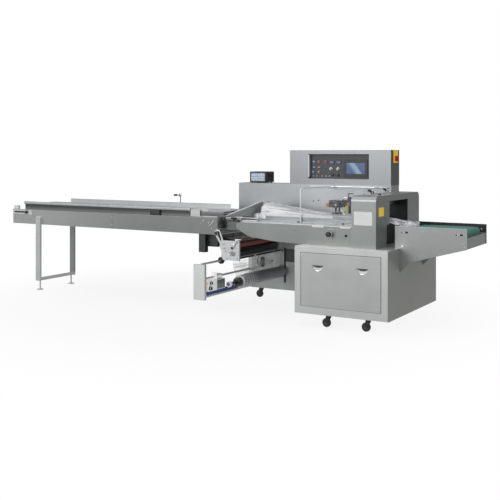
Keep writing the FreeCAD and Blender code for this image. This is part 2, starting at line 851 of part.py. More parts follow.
def beam_knob():
    """A lobed hand knob on a threaded bush in the beam."""
    start = beam_front - swivel_gap
    round_edge = knob_radius - knob_neck_radius
    outline = ((0, 0), (0, knob_bush_radius), (knob_bush, knob_bush_radius), (knob_bush, knob_neck_radius),
               (knob_neck, knob_neck_radius), (knob_neck, knob_radius),
               (knob_reach - round_edge / 3, knob_radius),
               (knob_reach, knob_radius - round_edge / 3), (knob_reach, 0))
    save("beam_knob", turned(outline, point(beam_knob_x, start, beam_knob_z), (0, -1, 0)))


def film_feed():
    """Side plates, tie bars and the rollers that draw the film off the reel."""
    back = wall_front
    front = feed_plate_front
    inner = front + feed_plate_thick
    notch = [(feed_left + x, feed_top - z) for x, z in feed_notch]
    corners = [(feed_right, feed_bottom), (feed_right, feed_top)]
    near = plate_xz([(feed_left, feed_top)] + notch + corners, front, inner)
    lip = block(feed_right - feed_lip, feed_right, front - feed_lip_reach, front, feed_bottom, feed_top)
    far = block(feed_left, feed_right, back - feed_plate_thick, back, mount_top, feed_top)
    plates = []
    for plate in (joined([near, lip]), far):
        for z in (steel_z, rubber_z):
            plate = plate.cut(rod_y(steel_x, z, journal_radius + running_fit, 0, machine_depth))
        plates.append(plate)
    boss = rod_y(steel_x, steel_z, boss_radius, front - boss_thick, front)
    boss = boss.cut(rod_y(steel_x, steel_z, journal_radius + running_fit, front - boss_bore, front))
    arm_y = front - arm_thick
    places = [(top_roller_x + x, top_roller_z + z) for x, z in arm_outline]
    arm = plate_xz(places, arm_y, front)
    arm = arm.cut(plate_xz([(top_roller_x + x, top_roller_z + z) for x, z in arm_slot], arm_y, front))
    arm = arm.cut(rod_y(top_roller_x, top_roller_z, journal_radius + running_fit, 0, machine_depth))
    half = far_bearing_half
    bearing = block(top_roller_x - half, top_roller_x + half, back - far_bearing, back,
                    top_roller_z - half, top_roller_z + half)
    seat = back - journal_radius / 2
    bearing = bearing.cut(rod_y(top_roller_x, top_roller_z, journal_radius + running_fit, 0, seat))
    save("feed_side_plates", joined([plates[0], boss, arm] + nip_lever()), plates[1], bearing)
    half = tie_bar_half
    bar = block(tie_bar_x - half, tie_bar_x + half, inner, back - feed_plate_thick,
                tie_bar_z - half, tie_bar_z + half)
    rod = rod_y(black_rod_x, black_rod_z, black_rod_radius, inner, back - feed_plate_thick)
    save("feed_tie_bars", bar, rod)
    for name, radius, z in (("steel_roller", steel_radius, steel_z), ("rubber_roller", rubber_radius, rubber_z)):
        body = rod_y(steel_x, z, radius, inner + end_play, back - feed_plate_thick - end_play)
        ends = rod_y(steel_x, z, journal_radius, front, back - 1)
        save(name, joined([body, ends]))
    body = rod_y(top_roller_x, top_roller_z, top_roller_radius,
                 front + end_play, back - far_bearing - end_play)
    ends = rod_y(top_roller_x, top_roller_z, journal_radius, arm_y - end_play, seat - end_play)
    cap = rod_y(top_roller_x, top_roller_z, cap_radius, arm_y - end_play - cap_length, arm_y - end_play)
    save("guide_roller", joined([body, ends, cap]))


def nip_lever():
    """The lever on the near plate that lifts the rubber roller: a round boss and a bar to its tip."""
    x, z = nip_pivot
    front = feed_plate_front - nip_reach
    run = point(nip_tip[0] - x, 0, nip_tip[1] - z)
    side = point(-run.z, 0, run.x) * (nip_half / run.Length)
    start = point(x, 0, z)
    corners = [start + side, start + run + side, start + run - side, start - side]
    bar = plate_xz([(corner.x, corner.z) for corner in corners], front, front + nip_thick)
    return [rod_y(x, z, nip_boss_radius, front, feed_plate_front), bar]


def reel():
    """The film reel on its shaft, and the plate and hub that carry it."""
    plate_face = wall_front - feed_plate_thick
    plate = block(mount_left, mount_right, plate_face, wall_front, mount_bottom, mount_top)
    hub = rod_y(reel_x, reel_z, hub_radius, plate_face - hub_length, plate_face)
    mount = joined([plate, hub])
    mount = mount.cut(rod_y(reel_x, reel_z, reel_shaft_radius + running_fit, 0, wall_front))
    save("reel_mount", mount)
    shaft = rod_y(reel_x, reel_z, reel_shaft_radius, reel_tip + end_cap_length, wall_front - 1)
    chuck_near = turned(((0, 0), (0, chuck_radius - chuck_chamfer), (chuck_chamfer, chuck_radius),
                         (chuck_length, chuck_radius), (chuck_length, 0)),
                        point(reel_x, reel_front - chuck_length, reel_z), (0, 1, 0))
    chuck_far = rod_y(reel_x, reel_z, reel_core_radius + 4, reel_back, plate_face - hub_length - end_play)
    save("reel_shaft", joined([shaft, chuck_near, chuck_far]))
    roll = rod_y(reel_x, reel_z, reel_radius, reel_front, reel_back)
    roll = roll.cut(rod_y(reel_x, reel_z, reel_shaft_radius, reel_front, reel_back))
    save("film_roll", roll)
    cap = turned(((0, 0), (0, end_cap_radius - end_cap_round), (end_cap_round, end_cap_radius),
                  (end_cap_length, end_cap_radius), (end_cap_length, 0)),
                 point(reel_x, reel_tip, reel_z), (0, 1, 0))
    save("reel_end_cap", cap)


def cradle():
    """The end plate, its rods back to the base, and what is clamped on them."""
    front = cradle_front
    inner = cradle_front + cradle_thick
    plate = block(cradle_x - cradle_plate_left, cradle_x + cradle_plate_right, front, inner,
                  cradle_bottom, cradle_top)
    save("cradle_end_plate", plate)
    foot = block(cradle_x - cradle_foot, base_left, wall_front, wall_front + cradle_foot_depth,
                 underside, top_rod_z + cradle_foot_rise)
    tube = rod_y(cradle_x, low_tube_z, low_tube_radius, inner, wall_front)
    middle = rod_y(cradle_x, mid_rod_z, rod_radius, inner, wall_front)
    top = rod_y(cradle_x, top_rod_z, rod_radius, inner, wall_front)
    save("cradle_rods", joined([foot, tube, middle, top]))
    rail = block(cradle_x - rail_half, cradle_x + rail_half, inner, wall_front, rail_z, rail_z + rail_height)
    save("cradle_rail", rail.cut(rod_y(cradle_x, low_tube_z, low_tube_radius, inner, wall_front)))
    reach = reel_knob_radius
    knob = turned(((0, rod_radius + running_fit), (0, reach * 0.55), (reel_knob_thick * 0.3, reach),
                   (reel_knob_thick - chuck_chamfer / 2, reach), (reel_knob_thick, reach - chuck_chamfer / 2),
                   (reel_knob_thick, rod_radius + running_fit)),
                  point(cradle_x, reel_knob_front, top_rod_z), (0, 1, 0))
    save("reel_knob", knob)
    x0, x1 = cradle_x - coder_half, cradle_x + coder_half
    box = block(x0, x1, coder_front, coder_back, coder_bottom, coder_top)
    y = coder_back + coder_plate
    plate = block(x0, x1, coder_back, y, coder_bottom, coder_plate_top)
    shoe = block(cradle_x - shoe_half, cradle_x + shoe_half, y, y + shoe_length,
                 coder_bottom, coder_bottom + shoe_height)
    clamp = block(cradle_x - clamp_half_width, cradle_x + clamp_half_width, y, y + clamp_length,
                  clamp_low, clamp_high)
    knobs = [rod_x(place, z, radius, x1, x1 + proud) for place, z, radius, proud in coder_knobs]
    whole = joined([box, plate, shoe, clamp] + knobs)
    bore = rod_y(cradle_x, mid_rod_z, rod_radius + running_fit, coder_front, y + clamp_length)
    save("coder", whole.cut(bore))


def strip(circles, end, shift):
    """One side of a strip that runs round circles and ends at a point.

    Each circle is (x, z, radius, side), with side 1 where the circle lies on the strip's right
    and -1 where it lies on its left. The straight runs are the common tangents: the unit normal
    that both tangent points share has the difference of the signed radii over the distance as its
    component along the line of centres.
    """
    rounds = [(x, z, side * radius + shift) for x, z, radius, side in circles] + [(end[0], end[1] + shift, 0.0)]
    touches = []
    for (x0, z0, r0), (x1, z1, r1) in zip(rounds, rounds[1:]):
        length = math.hypot(x1 - x0, z1 - z0)
        ux, uz = (x1 - x0) / length, (z1 - z0) / length
        along = (r0 - r1) / length
        across = math.sqrt(max(0.0, 1 - along * along))
        nx, nz = ux * along - uz * across, uz * along + ux * across
        touches.append(((x0 + r0 * nx, z0 + r0 * nz), (x1 + r1 * nx, z1 + r1 * nz)))
    edges = []
    for number, (leave, meet) in enumerate(touches):
        if number > 0:
            x, z, radius = rounds[number]
            came = touches[number - 1][1]
            start = math.atan2(came[1] - z, came[0] - x)
            stop = math.atan2(leave[1] - z, leave[0] - x)
            turn = 1 if radius < 0 else -1
            sweep = (stop - start) * turn % (2 * math.pi)
            middle = start + turn * sweep / 2
            half = (x + abs(radius) * math.cos(middle), z + abs(radius) * math.sin(middle))
            edges.append((came, half, leave))
        if math.hypot(meet[0] - leave[0], meet[1] - leave[1]) > 0.01:
            edges.append((leave, meet))
    return edges


def film():
    """The web from the reel round the rollers, and the formed tube on the film table."""
    front = film_front
    back = reel_back - film_margin
    lift = film_gap + film_thick / 2
    circles = ((reel_x, reel_z, reel_radius + lift, 1), (steel_x, steel_z, steel_radius + nip_gap / 2, 1),
               (steel_x, rubber_z, rubber_radius + nip_gap / 2, -1),
               (top_roller_x, top_roller_z, top_roller_radius + lift, 1))
    end = (film_table_left - 0.5, film_table_top + lift)
    sides = []
    for shift in (film_thick / 2, -film_thick / 2):
        edges = []
        for places in strip(circles, end, shift):
            corners = [point(x, front, z) for x, z in places]
            if len(corners) == 3:
                edges.append(Part.Arc(*corners).toShape())
            else:
                edges.append(Part.LineSegment(*corners).toShape())
        sides.append(edges)
    first, second = sides
    caps = [Part.LineSegment(a, b).toShape() for a, b in
            ((first[0].Vertexes[0].Point, second[0].Vertexes[0].Point),
             (first[-1].Vertexes[-1].Point, second[-1].Vertexes[-1].Point))]
    wire = Part.Wire(Part.__sortEdges__(first + second + caps))
    save("film_web", Part.Face(wire).extrude(point(0, back - front, 0)))
    low = film_table_top + film_gap
    y0 = film_table_front + tube_side
    y1 = film_table_back - tube_side
    wide = []
    for shrink in (0.0, film_thick):
        rings = []
        for x, height in ((tube_left, tube_start_height), (tube_neck, tube_height), (tube_right, tube_height)):
            corners = [point(x, y0 + shrink, low + shrink), point(x, y1 - shrink, low + shrink),
                       point(x, y1 - shrink, low + height - shrink), point(x, y0 + shrink, low + height - shrink)]
            rings.append(Part.makePolygon(corners + [corners[0]]))
        wide.append(Part.makeLoft(rings, True, True))
    tube = wide[0].cut(wide[1])
    fin = block(tube_neck, tube_right, line_y - fin_half, line_y + fin_half,
                low + tube_height, low + tube_height + fin_height)
    save("film_tube", joined([tube, fin]))


def infeed():
    """The long infeed: side panels, bed, guides, chain, drive cover, legs."""
    near_inner = infeed_front + panel_sheet
    far_inner = infeed_back - panel_sheet
    near = block(infeed_left, infeed_right, infeed_front, near_inner, infeed_bottom, infeed_panel_top)
    far = block(infeed_left, infeed_right, far_inner, infeed_back, infeed_bottom, infeed_panel_top)
    bars = []
    rise = infeed_bottom + cross_rise
    for x in cross_places:
        bars.append(block(x, x + cross_tube, near_inner, far_inner, rise, rise + cross_tube))
    for x in wall_arm_places:
        bars.append(block(x, x + cross_tube, infeed_back, wall_front, rise, rise + cross_tube))
    save("infeed_frame", joined([near, far] + bars))
    y0 = infeed_front + bed_inset
    y1 = infeed_back - bed_inset
    middle = (infeed_front + infeed_back) / 2
    top = block(bed_left, bed_right, y0, y1, bed_top - panel_sheet, bed_top)
    near_lip = block(bed_left, bed_right, y0, y0 + panel_sheet, bed_top - bed_lip, bed_top)
    far_lip = block(bed_left, bed_right, y1 - panel_sheet, y1, bed_top - bed_lip, bed_top)
    slot = block(bed_left + slot_margin, bed_right - slot_margin, middle - chain_slot / 2, middle + chain_slot / 2,
                 bed_top - panel_sheet, bed_top)
    low = bed_top - bed_lip
    near_foot = block(bed_left, infeed_right, near_inner, y0 + panel_sheet, low, low + panel_sheet)
    far_foot = block(bed_left, infeed_right, y1 - panel_sheet, far_inner, low, low + panel_sheet)
    notch = rod_y(drive_x, sprocket_z, shaft_radius + shaft_gap, infeed_front, infeed_back)
    rail = block(bed_left, near_guide_left, infeed_front, y0 + panel_sheet, bed_top, side_rail_top)
    bed = joined([top, near_lip, far_lip, near_foot, far_foot, rail])
    save("infeed_bed", bed.cut(slot).cut(notch))
    far_guide = block(far_guide_left, far_guide_right, y1 - panel_sheet, y1, bed_top, far_guide_top)
    break_x = near_guide_left + near_guide_joint
    low = infeed_panel_top + guide_low
    high = bed_top + guide_high
    start = break_x + near_guide_gap
    shoulder = start + guide_shoulder_length
    raised = high + guide_shoulder
    near_a = plate_xz(((near_guide_left, low), (near_guide_left, high + guide_flare), (break_x, raised),
                       (break_x, low)), y0 - panel_sheet, y0)
    near_b = plate_xz(((start, low), (start, raised), (shoulder, raised), (shoulder, high),
                       (bed_right, high), (bed_right, low)), y0 - panel_sheet, y0)
    save("infeed_guides", far_guide, near_a, near_b)
    half = chain_thick / 2
    outer = belt_loop(tail_x, drive_x, sprocket_z, sprocket_radius + chain_thick, middle - half, middle + half)
    inner = belt_loop(tail_x, drive_x, sprocket_z, sprocket_radius, middle - half, middle + half)
    wheels = []
    for x in (tail_x, drive_x):
        disc = rod_y(x, sprocket_z, sprocket_radius - swivel_gap, middle - half, middle + half)
        shaft = rod_y(x, sprocket_z, shaft_radius, near_inner, far_inner)
        wheels.append(joined([disc, shaft]))
    save("infeed_chain", outer.cut(inner), *wheels)


def legs():
    """The leg frame bolted outside the panels, with its levelling feet, and the drive cover."""
    half = leg_width / 2
    pieces = []
    for y in (infeed_front - leg_depth, infeed_back):
        leg = block(leg_x - half, leg_x + half, y, y + leg_depth, leg_bottom, leg_top)
        pieces.append(rounded(leg, leg_round, lambda edge: along_y(edge) and edge.CenterOfMass.z > leg_top - 1))
    pieces.append(block(leg_x - leg_bar_half, leg_x + leg_bar_half, infeed_front, infeed_back,
                        leg_bottom, leg_bottom + leg_bar_height))
    for y in (infeed_front + foot_inset, infeed_back - foot_inset):
        pieces.append(rod_z(leg_x, y, foot_screw_radius, foot_height, leg_bottom))
        outline = ((0, 0), (0, foot_radius), (foot_edge, foot_radius), (foot_height, foot_neck),
                   (foot_height, 0))
        pieces.append(turned(outline, point(leg_x, y, 0), (0, 0, 1)))
    save("leg_frame", joined(pieces))
    front = infeed_front + drive_cover_inset
    behind = front + drive_cover_depth
    top = infeed_bottom + cross_rise
    cover = block(drive_cover_left, drive_cover_left + drive_cover_width, front, behind, drive_cover_bottom, top)
    box = block(drive_cover_left, drive_cover_left + drive_box_width, behind, behind + drive_box_length,
                drive_box_bottom, top)
    save("drive_cover", joined([cover, box]))


def photocell():
    """A bent rod on the far guide with a sensing head on its end, and the sender box across the bed."""
    y = infeed_back - bed_inset - panel_sheet / 2
    bend = photocell_bend
    top = far_guide_top + photocell_height - bend
    post = rod_z(photocell_x, y, photocell_rod, far_guide_top, top)
    ring = Part.makeTorus(bend, photocell_rod, point(photocell_x - bend, y, top), point(0, 1, 0))
    reach = bend + photocell_rod
    keep = block(photocell_x - bend, photocell_x + photocell_rod, y - reach, y + reach, top, top + reach)
    quarter = ring.common(keep)
    run_end = photocell_x - bend - photocell_run
    run = rod_x(y, top + bend, photocell_rod, run_end, photocell_x - bend)
    head = rod_x(y, top + bend, photocell_head_radius, run_end - photocell_head, run_end)
    sender = block(sender_left, sender_right, infeed_front, infeed_front + bed_inset,
                   infeed_panel_top, bed_top - sender_top_gap)
    save("photocell", joined([post, quarter, run, head]), sender)


def output():
    """The short output conveyor that hangs on the cabinet's right end."""
    outline = ((output_left, cabinet_top + swivel_gap), (output_left, output_top), (output_right, output_top),
               (output_right, output_end_bottom), (output_knee_x, output_knee_z), (0, gusset_tip_z),
               (0, cabinet_top + swivel_gap))
    panels = [plate_xz(outline, output_front, output_front + panel_sheet),
              plate_xz(outline, output_back - panel_sheet, output_back)]
    axis_z = belt_top - belt_thick - belt_roller_radius
    for side in (0, 1):
        for x in (belt_near_x, belt_far_x):
            cut = belt_loop(x - slot_half, x + slot_half, axis_z, slot_height / 2, output_front, output_back)
            panels[side] = panels[side].cut(cut)
    inner_front = output_front + panel_sheet
    inner_back = output_back - panel_sheet
    bed = block(belt_near_x + belt_bed_inset, belt_far_x - belt_bed_inset, inner_front, inner_back,
                axis_z - belt_bed_drop, belt_top - belt_thick - belt_bed_gap)
    end_x = output_right - end_plate_inset
    end = block(end_x - panel_sheet, end_x, inner_front, inner_back, output_end_bottom,
                output_end_bottom + end_plate_height)
    save("output_frame", joined(panels + [end, bed]))
    y0 = output_front + belt_inset
    outer = belt_loop(belt_near_x, belt_far_x, axis_z, belt_roller_radius + belt_thick, y0, belt_back)
    inner = belt_loop(belt_near_x, belt_far_x, axis_z, belt_roller_radius, y0, belt_back)
    save("output_belt", outer.cut(inner))
    rollers = []
    for x in (belt_near_x, belt_far_x):
        drum = rod_y(x, axis_z, belt_roller_radius - drum_gap, y0, belt_back)
        pin = rod_y(x, axis_z, output_pin_radius, output_front, output_back)
        rollers.append(joined([drum, pin]))
    save("belt_rollers", *rollers)


def belt_loop(x0, x1, z, radius, y0, y1):
    """A solid with two round ends along X."""
    return joined([block(x0, x1, y0, y1, z - radius, z + radius), rod_y(x0, z, radius, y0, y1),
                   rod_y(x1, z, radius, y0, y1)])


def caster_plates(names):
    """The fixed square plates of some casters, under the sheet they are screwed to."""
    plates = []
    for name, x, y in caster_places:
        if name in names:
            plates.append(block(x - caster_plate_half, x + caster_plate_half, y - caster_plate_half,
                                y + caster_plate_half, underside - caster_plate, underside))
    return plates


def casters():
    """Four casters: a fork that swivels under its plate and a wheel in it."""
    for name, x, y in caster_places:
        wheel_x = x - caster_trail
        half = caster_wheel_width / 2
        top = underside - caster_plate - swivel_gap
        disc = rod_z(x, y, caster_disc_radius, top - caster_plate, top)
        cheeks = []
        for side in (-1, 1):
            y0 = y + side * (half + cheek_gap)
            y1 = y0 + side * cheek_sheet
            cheeks.append(plate_xz(((x + cheek_reach, top - caster_plate), (x - cheek_reach, top - caster_plate),
                                    (wheel_x - axle_eye, caster_wheel_radius - axle_drop),
                                    (wheel_x + axle_eye, caster_wheel_radius - axle_drop)),
                                   min(y0, y1), max(y0, y1)))
        reach = half + cheek_gap + cheek_sheet
        axle = rod_y(wheel_x, caster_wheel_radius, axle_radius, y - reach, y + reach)
        save("caster_fork_" + name, joined([disc] + cheeks + [axle]))
        bore = axle_radius + running_fit
        edge = caster_wheel_radius - tread_round
        wheel = turned(((0, bore), (0, edge), (tread_round, caster_wheel_radius),
                        (caster_wheel_width - tread_round, caster_wheel_radius),
                        (caster_wheel_width, edge), (caster_wheel_width, bore)),
                       point(wheel_x, y - half, caster_wheel_radius), (0, 1, 0))
        save("caster_wheel_" + name, wheel)


os.makedirs("parts", exist_ok=True)
cabinets()
controls()
mains_switch()
controller()
head_box()
safety_cover()
forming()
seal_unit()
beam_knob()
film_feed()
reel()
cradle()
film()
infeed()
legs()
photocell()
output()
casters()
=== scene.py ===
import math

import bmesh
import bpy
import numpy as np
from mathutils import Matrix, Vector


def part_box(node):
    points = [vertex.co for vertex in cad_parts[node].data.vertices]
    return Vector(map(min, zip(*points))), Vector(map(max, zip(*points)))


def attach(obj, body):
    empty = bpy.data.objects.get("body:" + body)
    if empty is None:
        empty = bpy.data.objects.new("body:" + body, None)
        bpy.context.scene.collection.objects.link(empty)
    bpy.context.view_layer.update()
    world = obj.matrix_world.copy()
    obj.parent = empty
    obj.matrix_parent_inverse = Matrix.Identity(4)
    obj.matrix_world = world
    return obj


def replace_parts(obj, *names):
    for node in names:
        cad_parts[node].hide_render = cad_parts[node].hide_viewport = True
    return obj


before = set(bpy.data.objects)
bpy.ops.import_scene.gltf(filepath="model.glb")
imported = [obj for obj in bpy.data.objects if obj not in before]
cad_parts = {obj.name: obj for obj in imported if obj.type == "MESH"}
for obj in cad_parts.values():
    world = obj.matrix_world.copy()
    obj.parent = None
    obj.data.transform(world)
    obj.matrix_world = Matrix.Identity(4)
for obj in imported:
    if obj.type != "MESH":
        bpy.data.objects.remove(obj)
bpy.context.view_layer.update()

# Camera. It stands in front of the outfeed end at eye level and is held level. The picture is shifted
# down instead of tilted, so every upright edge of the machine stays upright.
low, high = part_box("front_cabinet")
cabinet_corner = np.array([high.x, low.y, 0.0])


def here(points):
    """Places in millimetres from the cabinet's lower right front corner, in the frame's metres."""
    return cabinet_corner + np.asarray(points, float) / 1000


eye = bpy.data.objects.new("eye", bpy.data.cameras.new("eye"))
bpy.context.scene.collection.objects.link(eye)
eye.data.sensor_width = 36
eye.data.lens = 60.41
eye.data.shift_y = -0.193
eye.data.clip_end = 100
eye.location = here((2503, -6330, 1467))
eye.rotation_euler = (math.pi / 2, 0, math.radians(30.91))
bpy.context.scene.camera = eye
bpy.context.scene.view_settings.view_transform = "Standard"


# Studio. White paper floor and backdrop, one large soft lamp in front on the left and the even light
# of the room. The room is darker towards the outfeed end, which shades the right-hand sides of the steel.
class Value:
    """One socket of a finish's node tree. Sums and products of values add their Math nodes."""

    def __init__(self, tree, socket):
        self.tree = tree
        self.socket = socket

    def node(self, kind, settings=None, output=0, **sockets):
        """Adds a node. Settings come first, then the values or links of its sockets, by name or as s0, s1."""
        made = self.tree.nodes.new("ShaderNode" + kind)
        for name, value in (settings or {}).items():
            setattr(made, name, value)
        for name, value in sockets.items():
            socket = made.inputs[int(name[1:]) if name[1:].isdigit() else name.replace("_", " ")]
            if isinstance(value, Value):
                self.tree.links.new(value.socket, socket)
            else:
                socket.default_value = value
        return Value(self.tree, made.outputs[output])

    def eased(self, low, high, first=0.0, last=1.0):
        """A smooth change from first to last as this value goes from low to high."""
        return self.node("MapRange", {"interpolation_type": "SMOOTHSTEP"}, Value=self,
                         s1=low, s2=high, s3=first, s4=last)

    def maths(self, operation, first, second):
        return self.node("Math", {"operation": operation}, s0=first, s1=second)

    def __add__(self, other):
        return self.maths("ADD", self, other)

    def __radd__(self, other):
        return self.maths("ADD", other, self)

    def __sub__(self, other):
        return self.maths("SUBTRACT", self, other)

    def __rsub__(self, other):
        return self.maths("SUBTRACT", other, self)

    def __mul__(self, other):
        return self.maths("MULTIPLY", self, other)

    def __rmul__(self, other):
        return self.maths("MULTIPLY", other, self)


room = bpy.data.worlds.new("room")
bpy.context.scene.world = room
room.use_nodes = True
backing = room.node_tree.nodes["Background"]
facing = Value(room.node_tree, room.node_tree.nodes.new("ShaderNodeTexCoord").outputs["Generated"])
rays = facing.node("LightPath")
glossy = Value(room.node_tree, rays.socket.node.outputs["Is Glossy Ray"])
through = Value(room.node_tree, rays.socket.node.outputs["Is Transmission Ray"])
towards_end = facing.node("VectorMath", {"operation": "DOT_PRODUCT"}, 1, s0=facing, s1=(0.58, 0.81, -0.25))
sheen = 0.55 - 0.42 * towards_end
plain = rays.maths("MAXIMUM", rays, through)
light = plain + (1 - plain) * (glossy * sheen + (1 - glossy) * 0.30)
room.node_tree.links.new(light.socket, backing.inputs["Strength"])
backing.inputs["Color"].default_value = (1, 1, 1, 1)

for name, spot, size, watts in (("window", (-3600, -6800, 3300), 4.0, 200),
                                ("ceiling", (-1200, -600, 5200), 5.0, 75),
                                ("fill", (6200, -1600, 2600), 3.0, 30)):
    lamp = bpy.data.lights.new(name, "AREA")
    lamp.size = size
    lamp.energy = watts
    holder = bpy.data.objects.new(name, lamp)
    bpy.context.scene.collection.objects.link(holder)
    holder.location = here(spot)
    aim = Vector(here((-900, 400, 700))) - holder.location
    holder.rotation_euler = aim.to_track_quat("-Z", "Y").to_euler()

paper = bpy.data.materials.new("paper")
paper.use_nodes = True
spread = Value(paper.node_tree, paper.node_tree.nodes.new("ShaderNodeTexCoord").outputs["Object"])
fade = spread.node("VectorMath", {"operation": "LENGTH"}, 1, s0=spread).eased(1.2, 3.4, 0.86, 1.0)
seen = fade.node("LightPath")
paper_white = fade.node("Emission", s0=(1, 1, 1, 1), s1=0.42 + 0.58 * seen)
paper_surface = paper.node_tree.nodes["Principled BSDF"]
paper_surface.inputs["Base Color"].default_value = (0.93, 0.93, 0.93, 1)
paper_surface.inputs["Roughness"].default_value = 0.9
blend = fade.node("MixShader", s0=fade, s1=Value(paper.node_tree, paper_surface.outputs[0]), s2=paper_white)
paper.node_tree.links.new(blend.socket, paper.node_tree.nodes["Material Output"].inputs["Surface"])
floor_mesh = bpy.data.meshes.new("floor")
floor_mesh.from_pydata([(-40, -40, 0), (40, -40, 0), (40, 40, 0), (-40, 40, 0)], [], [(0, 1, 2, 3)])
floor_mesh.materials.append(paper)
floor = bpy.data.objects.new("floor", floor_mesh)
bpy.context.scene.collection.objects.link(floor)


# Cabinets. Front cabinet, rear base and tall wall are folded from brushed stainless sheet. The brushing
# runs along the sheet, and hands and wiping leave it slightly cloudy.
def begun(name, **fixed):
    """A new finish: its material, its place on the object, and its surface with some sockets fixed."""
    material = bpy.data.materials.new(name)
    material.use_nodes = True
    surface = material.node_tree.nodes["Principled BSDF"]
    for socket, value in fixed.items():
        surface.inputs[socket.replace("_", " ")].default_value = value
    coordinates = material.node_tree.nodes.new("ShaderNodeTexCoord")
    return material, Value(material.node_tree, coordinates.outputs["Object"]), surface


def joined_to(surface, **links):
    """Links values to a surface's sockets."""
    for socket, value in links.items():
        value.tree.links.new(value.socket, surface.inputs[socket.replace("_", " ")])


def between(share, first, second):
    """A colour that goes from the first to the second as share goes from 0 to 1."""
    first, second = (tone if isinstance(tone, Value) else (*tone, 1) for tone in (first, second))
    return share.node("Mix", {"data_type": "RGBA"}, 2, s0=share, s6=first, s7=second)


def shades(share, tone, darkest, lightest, lift=0.0):
    """One tone from its darkest to its lightest shade."""
    tone = np.array(tone)
    return between(share, tone * darkest, np.minimum(tone * lightest + lift, 1))


def ramp(place, axis, low, high, first, last):
    """A smooth change from first to last between two places, in millimetres from the corner, on X, Y or Z."""
    ends = [float(here(np.eye(3)[axis] * value)[axis]) for value in (low, high)]
    return place.node("SeparateXYZ", output=axis, Vector=place).eased(*ends, first, last)


def sheet_steel(name, tone, grain=(5, 650, 650), rough=0.36, metal=0.62, change=None):
    """Brushed sheet: noise stretched along the brushing gives the grain, slow noise gives the cloudiness. A
    change is a second tone, with the axis and the two places between which the first goes over into it."""
    material, place, surface = begun(name, Metallic=metal)
    stretched = place.node("Mapping", Vector=place, Scale=grain)
    lines = place.node("TexNoise", Vector=stretched, Scale=1.0, Detail=2.0)
    cloud = place.node("TexNoise", Vector=place, Scale=2.4, Detail=3.0, Roughness=0.6)
    share = lines * 0.45 + cloud * 0.55
    colour = shades(share, tone, 0.80, 1.18)
    if change:
        colour = between(ramp(place, *change[1:], 0.0, 1.0), colour, shades(share, change[0], 0.80, 1.18))
    joined_to(surface, Base_Color=colour, Roughness=rough + (lines - 0.5) * 0.16 + (cloud - 0.5) * 0.12,
              Normal=place.node("Bump", Strength=0.12, Distance=0.0004, Height=lines))
    return material


def dressed(node, finish):
    """Gives a CAD node its finish."""
    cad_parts[node].data.materials.clear()
    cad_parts[node].data.materials.append(finish)


upright_grain = (650, 650, 6)
dressed("front_cabinet", sheet_steel("cabinet_sheet", (0.62, 0.64, 0.63), upright_grain))
dressed("cabinet_cover", sheet_steel("cover_sheet", (0.52, 0.54, 0.535)))
dressed("rear_base", sheet_steel("base_sheet", (0.51, 0.54, 0.53)))
dressed("back_wall", sheet_steel("wall_sheet", (0.405, 0.425, 0.435)))


# Cover pulls. Two half-moon cups, pressed from bright steel and let into the cover, and the four screws
# that hold it. In each cup a dark lens is a painted shadow, and a white crescent below it is a painted
# highlight.
def bright_steel(name, tone=(0.80, 0.80, 0.81), rough=0.16):
    """Ground bright metal: fine noise breaks the gloss up a little."""
    material, place, surface = begun(name, Metallic=1.0)
    grind = place.node("TexNoise", Vector=place, Scale=260.0, Detail=2.0)
    smear = place.node("TexNoise", Vector=place, Scale=9.0, Detail=2.0)
    joined_to(surface, Base_Color=shades(smear, tone, 0.86, 1.08),
              Roughness=rough + (grind - 0.5) * 0.08 + (smear - 0.5) * 0.10,
              Normal=place.node("Bump", Strength=0.05, Distance=0.0002, Height=grind))
    return material


def moulded(name, tone, rough=0.45, grain=420.0, coat=0.0):
    """Moulded plastic or smooth paint: a fine orange-peel texture and faint dust in the colour."""
    material, place, surface = begun(name, Coat_Weight=coat)
    peel = place.node("TexNoise", Vector=place, Scale=grain, Detail=2.0)
    dust = place.node("TexNoise", Vector=place, Scale=14.0, Detail=3.0)
    joined_to(surface, Base_Color=shades(dust, tone, 0.88, 1.10, 0.004),
              Roughness=rough + (dust - 0.5) * 0.16,
              Normal=place.node("Bump", Strength=0.15, Distance=0.0003, Height=peel))
    return material


def skin(rows, around=True, ends=True):
    """Faces between neighbouring rows of points: row i and point j join row i + 1 and point j + 1. Around
    joins each row's last point to its first, and ends closes the first and the last row with a flat face."""
    rows = np.asarray(rows, float)
    count, across = rows.shape[:2]
    index = np.arange(count * across).reshape(count, across)
    if around:
        index = np.column_stack([index, index[:, :1]])
    quads = np.stack([index[:-1, :-1], index[:-1, 1:], index[1:, 1:], index[1:, :-1]], axis=-1)
    faces = quads.reshape(-1, 4).tolist()
    if ends:
        faces += [index[0, :across].tolist(), index[-1, :across].tolist()]
    return rows.reshape(-1, 3), faces


def unit(vector):
    vector = np.asarray(vector, float)
    return vector / np.linalg.norm(vector, axis=-1, keepdims=True)


def turned(profile, start, count=36, axis=(0, -1, 0)):
    """A profile of (distance, radius) turned about an axis, towards the front if none is given."""
    axis = unit(axis)
    side = unit(np.cross(axis, (0, 0, 1) if abs(axis[2]) < 0.9 else (1, 0, 0)))
    turn = np.linspace(0, 2 * math.pi, count, endpoint=False)[:, None]
    ring = np.cos(turn) * side + np.sin(turn) * np.cross(axis, side)
    profile = np.asarray(profile, float)[:, :, None, None]
    return skin(np.asarray(start, float) + profile[:, 0] * axis + profile[:, 1] * ring)


def drawn(outline, path, up=(0, 0, 1)):
    """An outline of (across, rise) carried along a path and kept square to it: path + side * across + up *
    rise."""
    path = np.asarray(path, float)
    along = unit(np.gradient(path, axis=0))
    side = unit(np.cross(along, up))
    rise = np.cross(side, along)
    outline = np.asarray(outline, float)[None, :, :, None]
    return skin(path[:, None] + outline[:, :, 0] * side[:, None] + outline[:, :, 1] * rise[:, None])


